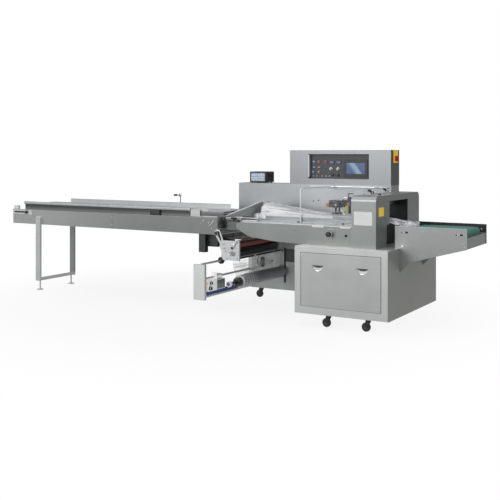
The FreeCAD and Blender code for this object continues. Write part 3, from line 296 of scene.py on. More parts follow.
def oblong(width, height, corner=0.01, steps=4):
    """A rectangle with round corners, each a quarter circle about its own centre."""
    turn = np.linspace(0, math.pi / 2, steps + 1)
    parts = []
    for quarter, (x, y) in enumerate(((1, 1), (-1, 1), (-1, -1), (1, -1))):
        angle = turn + quarter * math.pi / 2
        centre = (x * (width / 2 - corner), y * (height / 2 - corner))
        parts.append(centre + corner * np.column_stack([np.cos(angle), np.sin(angle)]))
    return np.concatenate(parts)


def rod(radius, count=12):
    """A circle."""
    turn = np.linspace(0, 2 * math.pi, count, endpoint=False)
    return radius * np.column_stack([np.cos(turn), np.sin(turn)])


def bar(x0, x1, y0, y1, z0, z1, corner=0.01, along=0):
    """A straight bar between two corners, its round-cornered outline drawn along X, Y or Z (0, 1 or 2)."""
    low, high = np.array([x0, y0, z0], float), np.array([x1, y1, z1], float)
    across = [axis for axis in range(3) if axis != along]
    middle = (low + high) / 2
    first, last = middle.copy(), middle.copy()
    first[along], last[along] = low[along], high[along]
    outline = oblong(*(high - low)[across], corner)
    return drawn(outline, [first, last], up=(0, 1, 0) if along == 2 else (0, 0, 1))


def screw(place, radius=5.0, head=4.0, axis=(0, -1, 0)):
    """A socket head: a wall, a rounded rim and the socket's wall down to its floor."""
    profile = [(0, radius), (head * 0.8, radius), (head, radius * 0.86), (head, radius * 0.5),
               (head * 0.5, radius * 0.5)]
    return turned(profile, place, 12, axis)


def made(name, shapes, finish, slot, body="frame", bevel=0.0, smooth=35):
    """One piece from surfaces in millimetres: doubles merged, faces turned outwards, and edges under smooth
    degrees soft."""
    points = np.concatenate([here(shape[0]) for shape in shapes])
    faces, base = [], 0
    for shape in shapes:
        faces += [[base + number for number in face] for face in shape[1]]
        base += len(shape[0])
    mesh = bpy.data.meshes.new(name)
    mesh.from_pydata(points.tolist(), [], faces)
    work = bmesh.new()
    work.from_mesh(mesh)
    bmesh.ops.remove_doubles(work, verts=work.verts, dist=1e-6)
    bmesh.ops.recalc_face_normals(work, faces=work.faces)
    work.to_mesh(mesh)
    work.free()
    mesh.shade_smooth()
    mesh.set_sharp_from_angle(angle=math.radians(smooth))
    mesh.materials.append(finish)
    piece = bpy.data.objects.new(name, mesh)
    bpy.context.scene.collection.objects.link(piece)
    if bevel:
        edge = piece.modifiers.new("edge", "BEVEL")
        edge.width = bevel / 1000
        edge.segments = 2
        edge.angle_limit = math.radians(50)
        edge.harden_normals = True
    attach(piece, body)
    return piece


def span(node):
    """A node's box in millimetres from the cabinet's corner: its lowest and highest place."""
    return [(np.array(place) - cabinet_corner) * 1000 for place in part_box(node)]


chrome = bright_steel("polished_steel")
black = moulded("black_plastic", (0.022, 0.022, 0.024), rough=0.38)
# The dark finish serves real gaps and joints, and painted shade in the tunnel, the hole and the slots.
dark = moulded("dark_gap_and_shade", (0.015, 0.017, 0.016), rough=0.7)
dressed("cabinet_pulls", chrome)
(left, front_y, bottom), (right, _, top) = span("cabinet_cover")
made("cover_screws",
     [screw((x, front_y, z), 6, 3) for x in (left + 22, right - 22) for z in (bottom + 22, top - 22)],
     chrome, "bright_steel")
gaps = [(left - 4, right + 3, top - 0.5, top + 2.6, 0), (right - 0.5, right + 4.5, bottom, top + 2.6, 2),
        (left - 3, left + 0.5, bottom, top, 2), (left, right, bottom - 1.6, bottom + 0.4, 0)]
made("cover_gap", [bar(x0, x1, -0.4, 0.3, z0, z1, 0.3, along) for x0, x1, z0, z1, along in gaps], dark,
     "black_metal")
# Painted shade: a darker skin of the cabinet's steel on its right end face.
made("cabinet_end_shade", [bar(-0.2, 0.6, 1, 1189, 111, 679, 0.3, along=1)],
     sheet_steel("cabinet_end_shade", (0.40, 0.41, 0.395), upright_grain), "sheet_steel")
# Painted light: a lighter, less metallic skin of the cabinet's steel on its top.
made("cabinet_top_lit", [bar(x0, x1, y0, y1, 679.6, 680.5, 0.3) for x0, x1, y0,
                     y1 in ((-845, -1, 0.5, 89), (-845, -361, 89, 149))],
     sheet_steel("cabinet_top_lit", (0.90, 0.91, 0.90), rough=0.45, metal=0.25), "sheet_steel")
sweep = np.linspace(0.15, math.pi - 0.15, 24)
brim = 529
lenses, highlight_crescents = [], []
for centre in (-628, -223):
    edge_x = centre + 49.5 * np.cos(sweep)
    upper, middle, lower = np.full(24, brim - 2.5), brim - 24 * np.sin(sweep), brim - 49.5 * np.sin(sweep)
    for shapes, first, last in ((lenses, upper, middle), (highlight_crescents, middle, lower)):
        section = ((13.4, first), (13.4, last), (14.3, last), (14.3, first))
        shapes.append(skin(np.stack([np.column_stack([edge_x, np.full(24, y), z]) for y, z in section],
                                    axis=1)))
made("pull_shadows", lenses, moulded("pull_shadow", (0.10, 0.10, 0.10), rough=0.5), "black_metal")
# Painted highlight: a white crescent in each cup.
made("pull_highlights", highlight_crescents, moulded("pull_highlight_finish", (0.93, 0.94, 0.94), rough=0.3, coat=0.4),
     "bright_steel")


# Controls. A folded steel box stands on the wall. A dark face is let into it, with push buttons, two
# panel meters, two knobs, bare legend plates and a touch screen in a black frame.
dressed("control_box", sheet_steel("control_sheet", (0.295, 0.31, 0.325)))
box_low, box_high = span("control_box")
# Painted shade: a darker skin of the box's steel on its right end face.
made("control_end_shade", [bar(box_high[0] - 0.2, box_high[0] + 0.6, box_low[1] + 1, box_high[1] - 1,
                         box_low[2] + 1, box_high[2] - 1, 1)],
     sheet_steel("control_end_shade", (0.16, 0.165, 0.16)), "sheet_steel")
dressed("control_panel", moulded("panel_face", (0.058, 0.062, 0.068), rough=0.42))
face_y = span("control_panel")[0][1]
collars = []
for name, x, z, tone in (("cyan", -1172, 1384, (0.08, 0.36, 0.55)), ("red", -1118, 1384, (0.75, 0.05, 0.04)),
                         ("maroon", -1043, 1384, (0.42, 0.015, 0.05)),
                         ("blue", -1180, 1284, (0.05, 0.30, 0.52)),
                         ("orange", -1119, 1284, (0.72, 0.12, 0.07))):
    cap = [(3, 10.5), (9, 10.5), (10.5, 9.5), (11.4, 6.0), (11.6, 1.0)]
    made("button_" + name, [turned(cap, (x, face_y, z), 28)],
         moulded("cap_" + name, tone, rough=0.25, coat=0.4), "control_pieces")
    collars.append(turned([(0, 15), (3.6, 15), (4.6, 14), (4.6, 11.2), (2.6, 11.2)], (x, face_y, z), 28))
buttons = made("button_collars", collars, bright_steel("button_collar", (0.20, 0.20, 0.21), 0.34),
               "control_pieces")
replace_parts(buttons, "panel_controls")
meters = (-979, -907)
made("meter_frames", [bar(x - 25, x + 25, face_y - 6, face_y, 1367, 1397, 2, along=1) for x in meters],
     black, "control_pieces", bevel=0.8)
made("meter_displays",
     [bar(x - 21, x + 21, face_y - 6.6, face_y - 5.5, 1371, 1393, 1, along=1) for x in meters],
     moulded("meter_display", (0.16, 0.13, 0.42), rough=0.2, coat=0.5), "control_pieces")
knobs, marks = [], []
for x in (-989, -915):
    skirt = [(0, 17), (3, 17), (4, 15.5), (4, 10.5), (18, 9.6), (19.5, 8.4), (19.6, 1)]
    knobs.append(turned(skirt, (x, face_y, 1317), 32))
    marks.append(bar(x - 0.8, x + 0.8, face_y - 19.9, face_y - 19.4, 1318, 1326, along=1))
made("dial_knobs", knobs, bright_steel("dial_metal", (0.46, 0.46, 0.47), 0.42), "control_pieces")
for xs, half, z0, z1 in (((-1180, -1140, -1083, -1040, -1005), 8, 1246, 1252),
                         ((-1172, -1118), 11, 1330, 1338)):
    marks += [bar(x - half, x + half, face_y - 0.8, face_y, z0, z1, along=1) for x in xs]
made("small_knobs", [turned([(0, 12), (4, 12), (5, 9), (14, 8), (15, 1)], (x, face_y, z), 24)
                     for x, z in ((-969, 1262), (-911, 1258))], black, "control_pieces")
made("legend_plates", marks, moulded("legend_white", (0.62, 0.63, 0.62), rough=0.5), "control_pieces")
dressed("touch_screen", black)
screen_low, screen_high = span("touch_screen")
glass, place, surface = begun("screen_glass", Roughness=0.12, Coat_Weight=0.6, Emission_Strength=0.22)
# A painted reflection: a lighter diagonal band across the screen, in its colour and in its glow.
slope = (0.80, 0.0, 0.60)
slant = place.node("VectorMath", {"operation": "DOT_PRODUCT"}, 1, s0=place, s1=slope)
middle = Vector(here((screen_low + screen_high) / 2)).dot(Vector(slope))
painted_reflection = slant.eased(middle - 0.045, middle - 0.005) * slant.eased(middle + 0.010, middle + 0.030, 1.0, 0.0)
shade = between(painted_reflection, (0.060, 0.115, 0.25), (0.27, 0.38, 0.52))
joined_to(surface, Base_Color=shade, Emission_Color=shade)
made("screen_glass", [bar(screen_low[0] + 27, screen_high[0] - 27, screen_low[1] + 0.6, screen_low[1] + 2.4,
                          screen_low[2] + 27, screen_high[2] - 27, 2, along=1)], glass, "screen_blue")
# Painted highlight: the inset's top lip and left edge in a lighter tone of the box's steel.
made("inset_lip", [bar(-1212, -578, box_low[1] + 22, box_low[1] + 38, 1459.6, 1463, 1),
                   bar(-1211.8, -1205, box_low[1] + 1, box_low[1] + 42, 1240, 1455, along=1)],
     sheet_steel("lip_highlight_sheet", (0.62, 0.64, 0.65)), "sheet_steel", bevel=0.5)


# Mains switch. A yellow moulded plate with a red rotary handle on the right end of the control box.
def painted_glow(finish, tone, strength):
    """Makes a finish glow faintly in one tone: painted light that keeps it bright in a shaded place."""
    surface = finish.node_tree.nodes["Principled BSDF"]
    surface.inputs["Emission Color"].default_value = (*tone, 1)
    surface.inputs["Emission Strength"].default_value = strength
    return finish


# Painted light: the yellow glows faintly so that it stays bright on the shaded end of the box.
yellow = painted_glow(moulded("switch_yellow", (1.0, 0.66, 0.01), rough=0.35), (1.0, 0.62, 0.02), 0.22)
dressed("switch_plate", yellow)
knob_low, knob_high = span("switch_knob")
_, y, z = (knob_low + knob_high) / 2
handle = made("mains_handle", [turned([(0, 28), (7, 28), (9.5, 25.5), (10, 12), (10, 1)],
                                      (knob_low[0], y, z), 40, (1, 0, 0)),
                               drawn(oblong(15, 52, 6), [(knob_low[0] + 6, y, z), (knob_high[0], y, z)])],
              moulded("switch_red", (0.62, 0.02, 0.015), rough=0.3, coat=0.3), "switch_red", "switch_knob",
              bevel=1.5)
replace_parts(handle, "switch_knob")


# Temperature controller. A small black instrument case on four feet with a pale lit face and side vents.
dressed("controller", black)
case_low, case_high = span("controller")
glow, place, surface = begun("controller_face", Roughness=0.25, Emission_Strength=0.22)
rows = place.node("TexWave", {"bands_direction": "Z"}, Vector=place, Scale=19.0)
letters = place.node("TexVoronoi", Vector=place.node("Mapping", Vector=place, Scale=(110, 110, 60)),
                     Scale=1.0)
tint = between((rows * letters).eased(0.18, 0.42, 0.0, 0.75), (0.60, 0.68, 0.80), (0.05, 0.08, 0.20))
joined_to(surface, Base_Color=tint, Emission_Color=tint)
made("controller_face", [bar(case_low[0] + 13, case_high[0] - 13, case_low[1] + 1, case_low[1] + 2.6,
                             case_low[2] + 21, case_high[2] - 13, 3, along=1)], glow, "screen_blue")
made("controller_vents",
     [bar(case_high[0] - 0.2, case_high[0], y, y + 5, case_low[2] + 30, case_high[2] - 22)
      for y in np.arange(case_low[1] + 40, case_high[1] - 30, 14)],
     moulded("vent_shadow", (0.004, 0.004, 0.004), rough=0.8), "black_plastic")


# Sealing head. A rounded steel housing over the jaws with a tunnel through it. Dark sheets inside it paint
# the tunnel's shade, a bare white plate is riveted on the front, a yellow one, faintly glowing with painted
# light, on the outfeed side, and a clear guard stands on top.
dressed("head_box", sheet_steel("head_sheet", (0.305, 0.325, 0.32), upright_grain))
dressed("sealing_jaws", bright_steel("jaw_steel", (0.22, 0.22, 0.23), 0.3))
head_low, head_high = span("head_box")
plate_white = moulded("plate_white", (0.90, 0.91, 0.91), rough=0.3)
made("front_plate", [bar(-335, -173, head_low[1] - 0.4, head_low[1] + 1.0, 873, 985, 4, along=1)],
     plate_white,
     "white_plastic", bevel=0.2)
made("front_plate_rivets",
     [screw((x, head_low[1] - 0.3, z), 3, 1.4) for x in (-328, -180) for z in (880, 978)],
     chrome, "bright_steel")
made("side_plate", [bar(head_high[0] - 1.0, head_high[0] + 0.5, 152, 262, 944, 1018, 6)], yellow,
     "switch_yellow", bevel=0.2)
x0, x1 = head_low[0] + 2, head_high[0] - 2
y0, y1, z0, z1, deck = 390.0, 830.0, 866.0, 1063.0, 682
throat = x1 - 70
# Painted shade: dark sheets just inside the tunnel's walls, roof, floor and throat.
tunnel_dark_sheets = [bar(x0, x1, y0 + 0.3, y0 + 1.5, z0 + 0.3, z1 - 0.3),
          bar(x0, x1, y1 - 1.5, y1 - 0.3, z0 + 0.3, z1 - 0.3),
          bar(x0, x1, y0 + 0.3, y1 - 0.3, z1 - 1.5, z1 - 0.3),
          bar(x0, throat, y0 + 0.3, y1 - 0.3, z0 + 0.3, z0 + 1.5),
          bar(throat, x1, 330.3, 331.5, deck, z0 - 0.3), bar(throat, x1, y1 - 1.5, y1 - 0.3, deck, z0 - 0.3),
          bar(throat + 1.7, throat + 3, 331, y1 - 1, deck, z0 - 0.3)]
made("tunnel_shade", tunnel_dark_sheets, dark, "black_metal")
made("throat_screws", [screw((head_high[0], 345, 700), 6, 3, (1, 0, 0))], chrome, "bright_steel")


def clear_sheet(name, alpha, rough=0.06):
    """Clear acrylic: nearly invisible face on, with faint smears that catch the light."""
    material, place, surface = begun(name, Roughness=rough, IOR=1.49)
    smear = place.node("TexNoise", Vector=place, Scale=7.0, Detail=4.0, Roughness=0.65)
    joined_to(surface, Base_Color=between(smear, (0.78, 0.82, 0.84), (0.95, 0.97, 0.98)),
              Alpha=alpha * 0.5 + smear * alpha, Roughness=rough + smear * 0.10)
    return material


acrylic = clear_sheet("clear_acrylic", 0.055)
edge_highlight = clear_sheet("acrylic_edge_highlight", 0.95, 0.25)
dressed("head_lid", acrylic)
(left, near, bottom), (right, far, top) = span("head_lid")
rise = [(1, bottom + 5), (1, top - 20), (7, top - 6), (21, top - 1)]
hoop = [(left + 2, near + y, z) for y, z in rise] + [(left + 2, far - y, z) for y, z in reversed(rise)]
foot = [(left + 5, near + 1, bottom + 2), (right - 1, near + 1, bottom + 2),
        (right - 1, far - 1, bottom + 2)]
# Painted highlights: bright lines along the lid's edges.
made("guard_edges",
     [drawn(oblong(4.4, 2.2, 1.0, 2), hoop, up=(1, 0, 0)), drawn(oblong(2.2, 4.4, 1.0, 2), foot)],
     edge_highlight, "clear_acrylic")
dressed("lid_levers", black)
lever_low, lever_high = span("lid_levers")
lever_x = (lever_low[0] + lever_high[0]) / 2
lever_ys = [near + share * (far - near) for share in (0.15, 0.71)]
up = (0, 0, 1)
levers = []
for y in lever_ys:
    levers.append(turned([(0, 12.5), (4, 12.5), (5, 9), (9, 9), (10, 6), (10, 1)], (lever_x, y, 1133), 24,
                         up))
    levers.append(turned([(0, 8), (3, 9.5), (16, 10.5), (22, 9), (25, 5), (25.6, 1)],
                         (lever_x, y - 66, 1149), 24,
                         (0, -1, 0.05)))
levers.append(turned([(0, 13), (9, 13), (12, 11), (13, 1)], (-208, 338, 1114.6), 28, up))
made("lever_grips", levers, black, "black_plastic", smooth=50)
made("lever_screws", [screw((lever_x, y, 1143), 4.5, 3, up) for y in lever_ys], chrome, "bright_steel")
# The brackets are real; their white tone is a painted highlight beside each lever.
made("lever_brackets", [bar(lever_x + 4, lever_x + 8, y - 34, y - 4, 1120, 1146, 6) for y in lever_ys],
     plate_white,
     "aluminium", bevel=0.6)


# Wall apron. A dark folded sheet stands between the tall wall's left end and the infeed drive and darkens
# what shows behind the film web there.
# Beside it a dark patch on the rear base is painted shade in an opening.
made("wall_apron",
     [bar(-2056, -1856, 986, 989, 586, 682, 1), bar(-2056, -2053, 988, 1020, 586, 682, 1, along=1)],
     sheet_steel("apron_sheet", (0.075, 0.085, 0.08), rough=0.5), "sheet_steel")
made("base_opening_shade", [bar(-1466, -1336, 983, 984.6, 397, 523, 4)],
     sheet_steel("opening_shade", (0.14, 0.15, 0.145), rough=0.6), "black_metal")


# Safety cover. One clear acrylic sheet bent along the front, hung on a steel rod along the wall, with
# polished edges whose bright lines are painted highlights.
(left, near, bottom), (right, far, top) = span("safety_cover")
hinge_y, hinge_z, bend, thick = far - 5, top - 5, 26.0, 5
turn = np.linspace(0, math.pi / 2, 9)
fold = np.column_stack([near + bend - bend * np.sin(turn), top - bend + bend * np.cos(turn)])
over = np.concatenate([[(hinge_y, top)], fold, [(near, bottom)]])
inner = over.copy()
inner[:-1, 1] -= thick * np.concatenate([[1], np.cos(turn)])
inner[1:, 0] += thick * np.concatenate([np.sin(turn), [1]])
section = np.concatenate([over, inner[::-1]])
rows = [np.column_stack([np.full(len(section), x), section]) for x in (left + 1.5, right - 1.5)]
cover = made("clear_cover", [skin(rows)], acrylic, "clear_acrylic", "safety_cover")
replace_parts(cover, "safety_cover")
edges = [drawn(oblong(5.2, wide, 1.0, 2), np.column_stack([np.full(len(over), x), (over + inner) / 2]),
               up=(1, 0, 0))
         for x, wide in ((left + 7, 13.5), (right - 1.5, 2.6))]
edges.append(bar(left + 3, right - 3, near + 0.3, near + 4.7, bottom, bottom + 2.5))
made("cover_edges", edges, edge_highlight, "clear_acrylic", "safety_cover")
made("wall_screws", [screw((x, 984, z), 7, 4) for x, z in ((-1156, 1005), (-1103, 1012))], black,
     "black_metal")
made("hinge_strip", [bar(-1195, -763, 980.4, 983.7, 1140, 1157, 1.2)], plate_white, "white_plastic",
     bevel=0.4)
made("cover_rod", [turned([(0, thick), (right - left, thick)], (left, hinge_y, hinge_z), 20, (1, 0, 0))],
     chrome, "bright_steel", "safety_cover")
# The grip strip's brightness is a painted highlight too.
made("cover_grip", [bar(-640, -560, near + 0.4, near + 4.6, bottom + 24, bottom + 27)], edge_highlight,
     "clear_acrylic", "safety_cover")


# Forming table. A folded steel beam carries the table along the front. Black cap screws hold its flange,
# white wear strips sit on the beam and on the table's edge, and a hole is drilled near the head.
dressed("forming_table", sheet_steel("beam_sheet", (0.285, 0.305, 0.295)))
# Painted light: a lighter copy of the steel, on the table's top and as bright strips along top edges here, on
# the infeed and on the output cheeks.
lit_steel_sheet = sheet_steel("table_sheet", (0.54, 0.56, 0.57), rough=0.28)
# Painted light and shade: the film table's top is lighter than its faces below the top edge.
dressed("film_table", sheet_steel("film_table_lit_top", (0.50, 0.52, 0.53), rough=0.30,
                                  change=((0.30, 0.315, 0.32), 2, 911.5, 908)))
table_low, table_high = span("forming_table")
front_y, top = table_low[1], table_high[2]
# Painted light: a lighter skin on the table's top.
made("table_skin", [bar(-1473, -361, front_y + 0.5, 384, top - 0.5, top + 1.2, 0.5)], lit_steel_sheet,
     "sheet_steel", bevel=0.5)
made("flange_screws",
     [screw((x, y, top + 1.1), 10, 8, up) for x, y in ((-979, 328), (-539, 322), (-1400, 330))],
     black, "black_plastic")
made("wear_strips",
     [bar(x0, x1, front_y - 1.6, front_y + 0.4, 833, 851, 1) for x0, x1 in ((-754, -644), (-489, -397))],
     plate_white, "white_plastic", bevel=0.4)
made("film_strip", [bar(-1345, -668, 383.4, 385.3, 892, 911.6, 1)], plate_white, "white_plastic", bevel=0.4)
# The hole's dark is painted shade on a shallow recess.
made("locating_hole",
     [turned([(0, 11), (0.8, 11), (0.8, 9.5), (0.1, 9.5), (0.1, 1)], (-434, front_y + 0.1, 772), 24)],
     dark, "black_metal")
# Painted highlight: a bright strip along the beam's top fold.
made("beam_fold", [bar(-1470, -361, front_y - 0.8, front_y + 0.4, top - 9, top - 1, 0.6)],
     lit_steel_sheet, "sheet_steel", bevel=0.3)


# Former. Two upright wings fold the film over the goods. They are clamped to a short bed by black
# cross-handle screws, and film guides stand at the bed's front corner. Bright strips along the wings' top
# edges and a bright foot under the near wing's end are painted highlights.
def lobed(profile, centre, lobes, depth, count, least, lift=0.0, upright=False):
    """A profile of (distance, radius) turned about Y, or about Z if upright, as rows for a skin. Radii over
    least swing round the turn: radius * (1 + depth * (cos(lobes * turn) + lift))."""
    turn = np.linspace(0, 2 * math.pi, count, endpoint=False)
    swing = depth * (np.cos(lobes * turn) + lift)
    rows = []
    for distance, radius in profile:
        reach = radius * (1 + (swing if radius > least else 0))
        across, rise, out = reach * np.cos(turn), reach * np.sin(turn), np.full(count, float(distance))
        rows.append(np.column_stack([across, rise, out] if upright else [across, -out, rise]) + centre)
    return rows


dressed("former_wings", sheet_steel("wing_sheet", (0.30, 0.325, 0.32), rough=0.30))
dressed("former_bed", sheet_steel("former_sheet", (0.155, 0.165, 0.16)))
wing_highlight_steel = bright_steel("wing_edge_highlight", (0.86, 0.87, 0.87), 0.42)
line_y = 555
for name, flip in (("near", 1), ("far", -1)):
    hem = [(-1670.5 + 229 * share, line_y + flip * (200 + 300 * share - line_y), 888.0 + 135 * share)
           for share in (0, 1)]
    made("wing_edge_" + name, [drawn(oblong(4.6, 12.0, 1.5, 2), hem)], wing_highlight_steel, "bright_steel")
stack = [(0, 22.4), (6, 27.4), (40, 27.4), (44, 20.4), (50, 20.4), (54, 27.4), (72.4, 27.4), (76, 12.4),
         (82, 12.4),
         (84, 20.4), (96.4, 18.4), (100.4, 10.4), (100.4, 1)]
star = [(0, 9), (15.6, 8.4), (17.6, 24.4), (22, 27.4), (32.4, 27.4), (36.4, 20.4), (36.4, 1)]
star_rows = lobed(star, (-1569, 186, 846), 5, 0.05, 60, 15, lift=1, upright=True)
# A foot under the near wing's end, whose brightness is a painted highlight.
made("wing_foot", [drawn(oblong(3, 30, 1, 2), [(-1668, 204, 863), (-1570, 330, 866)])], wing_highlight_steel,
     "bright_steel")
made("former_knobs", [turned(stack, (-1670, 120, 785), 40, up), skin(star_rows)], black, "black_plastic")
rail = [(-1566, 252, 853), (-1566, 252, 872), (-1560, 252, 876), (-1480, 256, 876), (-1372, 262, 874),
        (-1360, 262, 870), (-1360, 262, 853)]
made("folding_rails", [drawn(rod(4.5), rail, up=(0, 1, 0)), bar(-1520, -1340, 214, 226, 852.6, 861, 2)],
     bright_steel("rail_satin", (0.52, 0.53, 0.54), 0.45), "bright_steel")
made("rail_clamps", [turned([(0, 7), (9, 7), (11, 5), (11, 1)], (-1505, 216, 860), 18, up)], black,
     "black_plastic")


# Seam unit. An aluminium housing on an arm from the wall carries two knurled wheels that press the seam
# shut, a lever with an orange ball, a lamp post with a red cap, and two bright folding blades.
dressed("seal_housing", bright_steel("housing_cast", (0.035, 0.035, 0.038), 0.34))
wheel_finish = bright_steel("wheel_black", (0.05, 0.05, 0.055), 0.32)
dressed("seal_wheel_front", wheel_finish)
dressed("seal_wheel_rear", wheel_finish)
lever_low, lever_high = span("seal_lever")
lever_y, lever_z = lever_low[1] + 17, (lever_low[2] + lever_high[2]) / 2
turn = np.linspace(0.12, math.pi - 0.12, 17)
ball = np.column_stack([17.4 - 17.4 * np.cos(turn), 17.4 * np.sin(turn)])
made("lever_ball", [turned(ball, (-777.4, lever_y, lever_z), 32, (1, 0, 0))],
     moulded("ball_orange", (0.95, 0.22, 0.04), rough=0.30, coat=0.5), "switch_red", "seal_lever")
dressed("seal_lever", bright_steel("lever_black", (0.06, 0.06, 0.065), 0.34))
for name, hub, count, finish, slot in (
        ("lever_disc", [(0, 28), (3, 30), (7, 30), (8, 27), (8, 20), (6, 18), (6, 9)], 40, wheel_finish,
         "black_metal"),
        ("lever_hub", [(0, 9), (9, 9), (11, 7), (11, 3), (9, 3), (9, 1)], 32, chrome, "bright_steel")):
    made(name, [turned(hub, (-672, lever_y - 8, lever_z), count)], finish, slot, "seal_lever")
turn = np.linspace(0.5, math.pi + 0.5, 26)
hoop = np.column_stack([-600 - 44 * np.sin(turn), np.full(26, 506.0), 1030 - 44 * np.cos(turn)])
made("wire_hoop", [drawn(rod(5.2), hoop, up=(0, 1, 0))], chrome, "bright_steel")
blades = ((5.5, [(-655, 512, 974), (-628, 511.6, 940), (-600, 511.6, 905)]),
          (5, [(-636, 509, 992), (-617, 509, 968), (-598, 509, 944)]))
made("folding_blades", [drawn(oblong(wide, 1.6, 0.6, 2), path, up=(0, 1, 0)) for wide, path in blades],
     chrome, "bright_steel")
made("wheel_rims", [turned([(0, 37), (0, 38.6), (3, 38.6), (3, 37)], (-700, 516.2, 938), 48, up)],
     chrome, "bright_steel")
made("press_wheel",
     [turned([(0, 24), (3, 27), (13, 27), (16, 24), (16, 17), (12, 17), (12, 8), (20, 8), (20, 1)],
             (-640, 508, 1012), 40)], wheel_finish, "black_metal")
made("post_lever", [drawn(rod(4), [(-570, 508, 1078), (-570, 508, 1111)], up=(0, 1, 0)),
                    drawn(rod(5, 14), [(-580, 505, 1110), (-526, 505, 1112)])], black, "black_plastic")
made("housing_screws", [screw((x, 492.8, z), 4.5, 4) for x in (-745, -712) for z in (996, 1036)]
     + [screw((x, 514.8, 1009), 4, 3) for x in (-612, -574)], chrome, "bright_steel")
made("red_cap", [bar(-588, -564, 507, 515, 1004, 1030, 3)],
     moulded("cap_red", (0.62, 0.04, 0.10), rough=0.3), "switch_red")
made("seam_pad", [bar(-603, -574, 506, 511, 930, 1003, 3, along=1)],
     moulded("pad_lime", (0.42, 0.45, 0.14), rough=0.5), "switch_yellow", bevel=0.6)
made("table_screw", [turned([(0, 9), (4, 9), (5, 7), (5, 1)], (-628, 378, 852), 24, up)], black,
     "black_plastic")


# Height knob. A black lobed knob on a bright stepped bush in the beam.
knob_low, knob_high = span("beam_knob")
(x, _, z), back = (knob_low + knob_high) / 2, knob_high[1]
grip = [(24, 17), (27, 22.5), (46, 22.5), (50, 19), (51, 1)]
height = made("height_knob", [skin(lobed(grip, (x, back, z), 6, 0.06, 72, 5))], black, "black_plastic",
              "beam_knob")
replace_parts(height, "beam_knob")
turn = np.linspace(0.15, math.pi - 0.15, 20)
strap = np.column_stack([x + 10 + 24 * np.cos(turn), np.full(20, back - 5), z + 22 + 21 * np.sin(turn)])
made("knob_strap", [drawn(oblong(7, 3, 1.0, 2), strap, up=(0, 1, 0))],
     bright_steel("strap_steel", (0.42, 0.43, 0.44), 0.40), "bright_steel")
made("height_bush", [turned([(0, 18), (7, 18), (9, 16), (9, 10), (24, 10)], (x, back, z), 32)],
     chrome, "bright_steel", "beam_knob")


# Film feed. Milled aluminium side plates hold a steel roller and a red rubber one that pull the film off
# the reel. A clamp lever, a bearing boss and cap screws sit on the near plate.
milled = sheet_steel("milled_plate", (0.78, 0.79, 0.80), rough=0.32)
dressed("feed_side_plates", milled)
dressed("feed_tie_bars", bright_steel("black_rod", (0.06, 0.06, 0.065), 0.22))
dressed("steel_roller", bright_steel("drum_steel", (0.10, 0.105, 0.11), 0.30))
dressed("guide_roller", bright_steel("guide_steel", (0.80, 0.80, 0.81), 0.40))
red_rubber, place, surface = begun("red_rubber")
chalk = place.node("TexNoise", Vector=place, Scale=40.0, Detail=3.0)
joined_to(surface, Base_Color=between(chalk, (0.30, 0.035, 0.022), (0.44, 0.07, 0.045)),
          Roughness=0.55 + (chalk - 0.5) * 0.2)
dressed("rubber_roller", red_rubber)
plate_y, rollers_x = 194.0, -1583
made("feed_boss", [turned([(5, 24.4), (5.6, 23.4), (5.6, 1)], (rollers_x, plate_y, 549), 40)],
     moulded("boss_grey", (0.33, 0.34, 0.36), rough=0.5), "aluminium")
made("journal_caps", [turned([(0, 12), (1.4, 12), (2, 11), (2, 1)], (rollers_x, plate_y, 628), 32)], milled,
     "aluminium")
feed_screws = [(-1618, 553), (-1680, 590), (-1664, 566), (-1684, 628), (-1534, 505), (-1534, 648),
               (-1648, 500),
               (-1610, 527)]
made("feed_screws", [screw((x, plate_y, z), 4.5, 3) for x, z in feed_screws], black, "black_metal")
made("lever_cap",
     [turned([(0, 12.4), (2, 12.4), (4, 10), (4, 6), (2.5, 6), (2.5, 1)], (-1588, plate_y - 14, 600), 28)],
     black, "black_metal")
made("rod_collar",
     [turned([(0, 9), (0, 12.5), (2, 13.5), (28, 13.5), (30, 12.5), (30, 9)], (-1524, 462, 507), 32,
             (0, 1, 0))], plate_white, "white_plastic")
roller_low, roller_high = span("guide_roller")
x, _, z = (roller_low + roller_high) / 2
arm = [(x + across, 187.0, z + rise) for across,
       rise in ((-26, -12), (-26, 12), (-14, 26), (2, 31), (20, 26), (31, 8),
                (68, -90))]
made("arm_edge", [drawn(oblong(6, 3.0, 1.2, 2), arm, up=(0, 1, 0))],
     bright_steel("strap_bright", (0.86, 0.86, 0.86), 0.35), "bright_steel")
made("arm_cap", [turned([(0, 19), (1, 21.5), (7, 21.5), (9, 19), (9, 12), (6, 11), (6, 1)], (x, 185.4, z))],
     black, "black_plastic", "guide_roller")
made("roller_cap", [turned([(0, 19.4), (1, 20.4), (24, 20.4), (27.2, 17.5), (27.4, 8), (27.2, 7), (27.2, 1)],
                           (x, roller_low[1] + 27, z), 32)], black, "black_plastic", "guide_roller")


# Film reel. A wound roll of clear film on a black shaft with cone chucks. Its end shows the wound rings,
# and a white cap with a blue centre closes the shaft.
roll, place, surface = begun("wound_film", Roughness=0.22)
roll_y = span("film_roll")[0][1]
rings = place.node("TexWave", {"bands_direction": "Y", "wave_profile": "SAW"}, Vector=place, Scale=7.5,
                   Distortion=1.2, Detail=2.0)
darker = ramp(place, 1, roll_y + 120, roll_y + 300, 0.0, 1.0)
share = rings * (1 - darker) * 0.8 + darker * 0.75
joined_to(surface, Base_Color=between(share, (0.74, 0.78, 0.78), (0.050, 0.062, 0.060)),
          Normal=place.node("Bump", Strength=0.35, Distance=0.002, Height=rings))
dressed("film_roll", roll)
dressed("reel_shaft", moulded("shaft_black", (0.018, 0.018, 0.02), rough=0.3))
dressed("reel_mount", sheet_steel("mount_plate", (0.47, 0.50, 0.49)))
reel_x, reel_z = -1500.0, 303.0
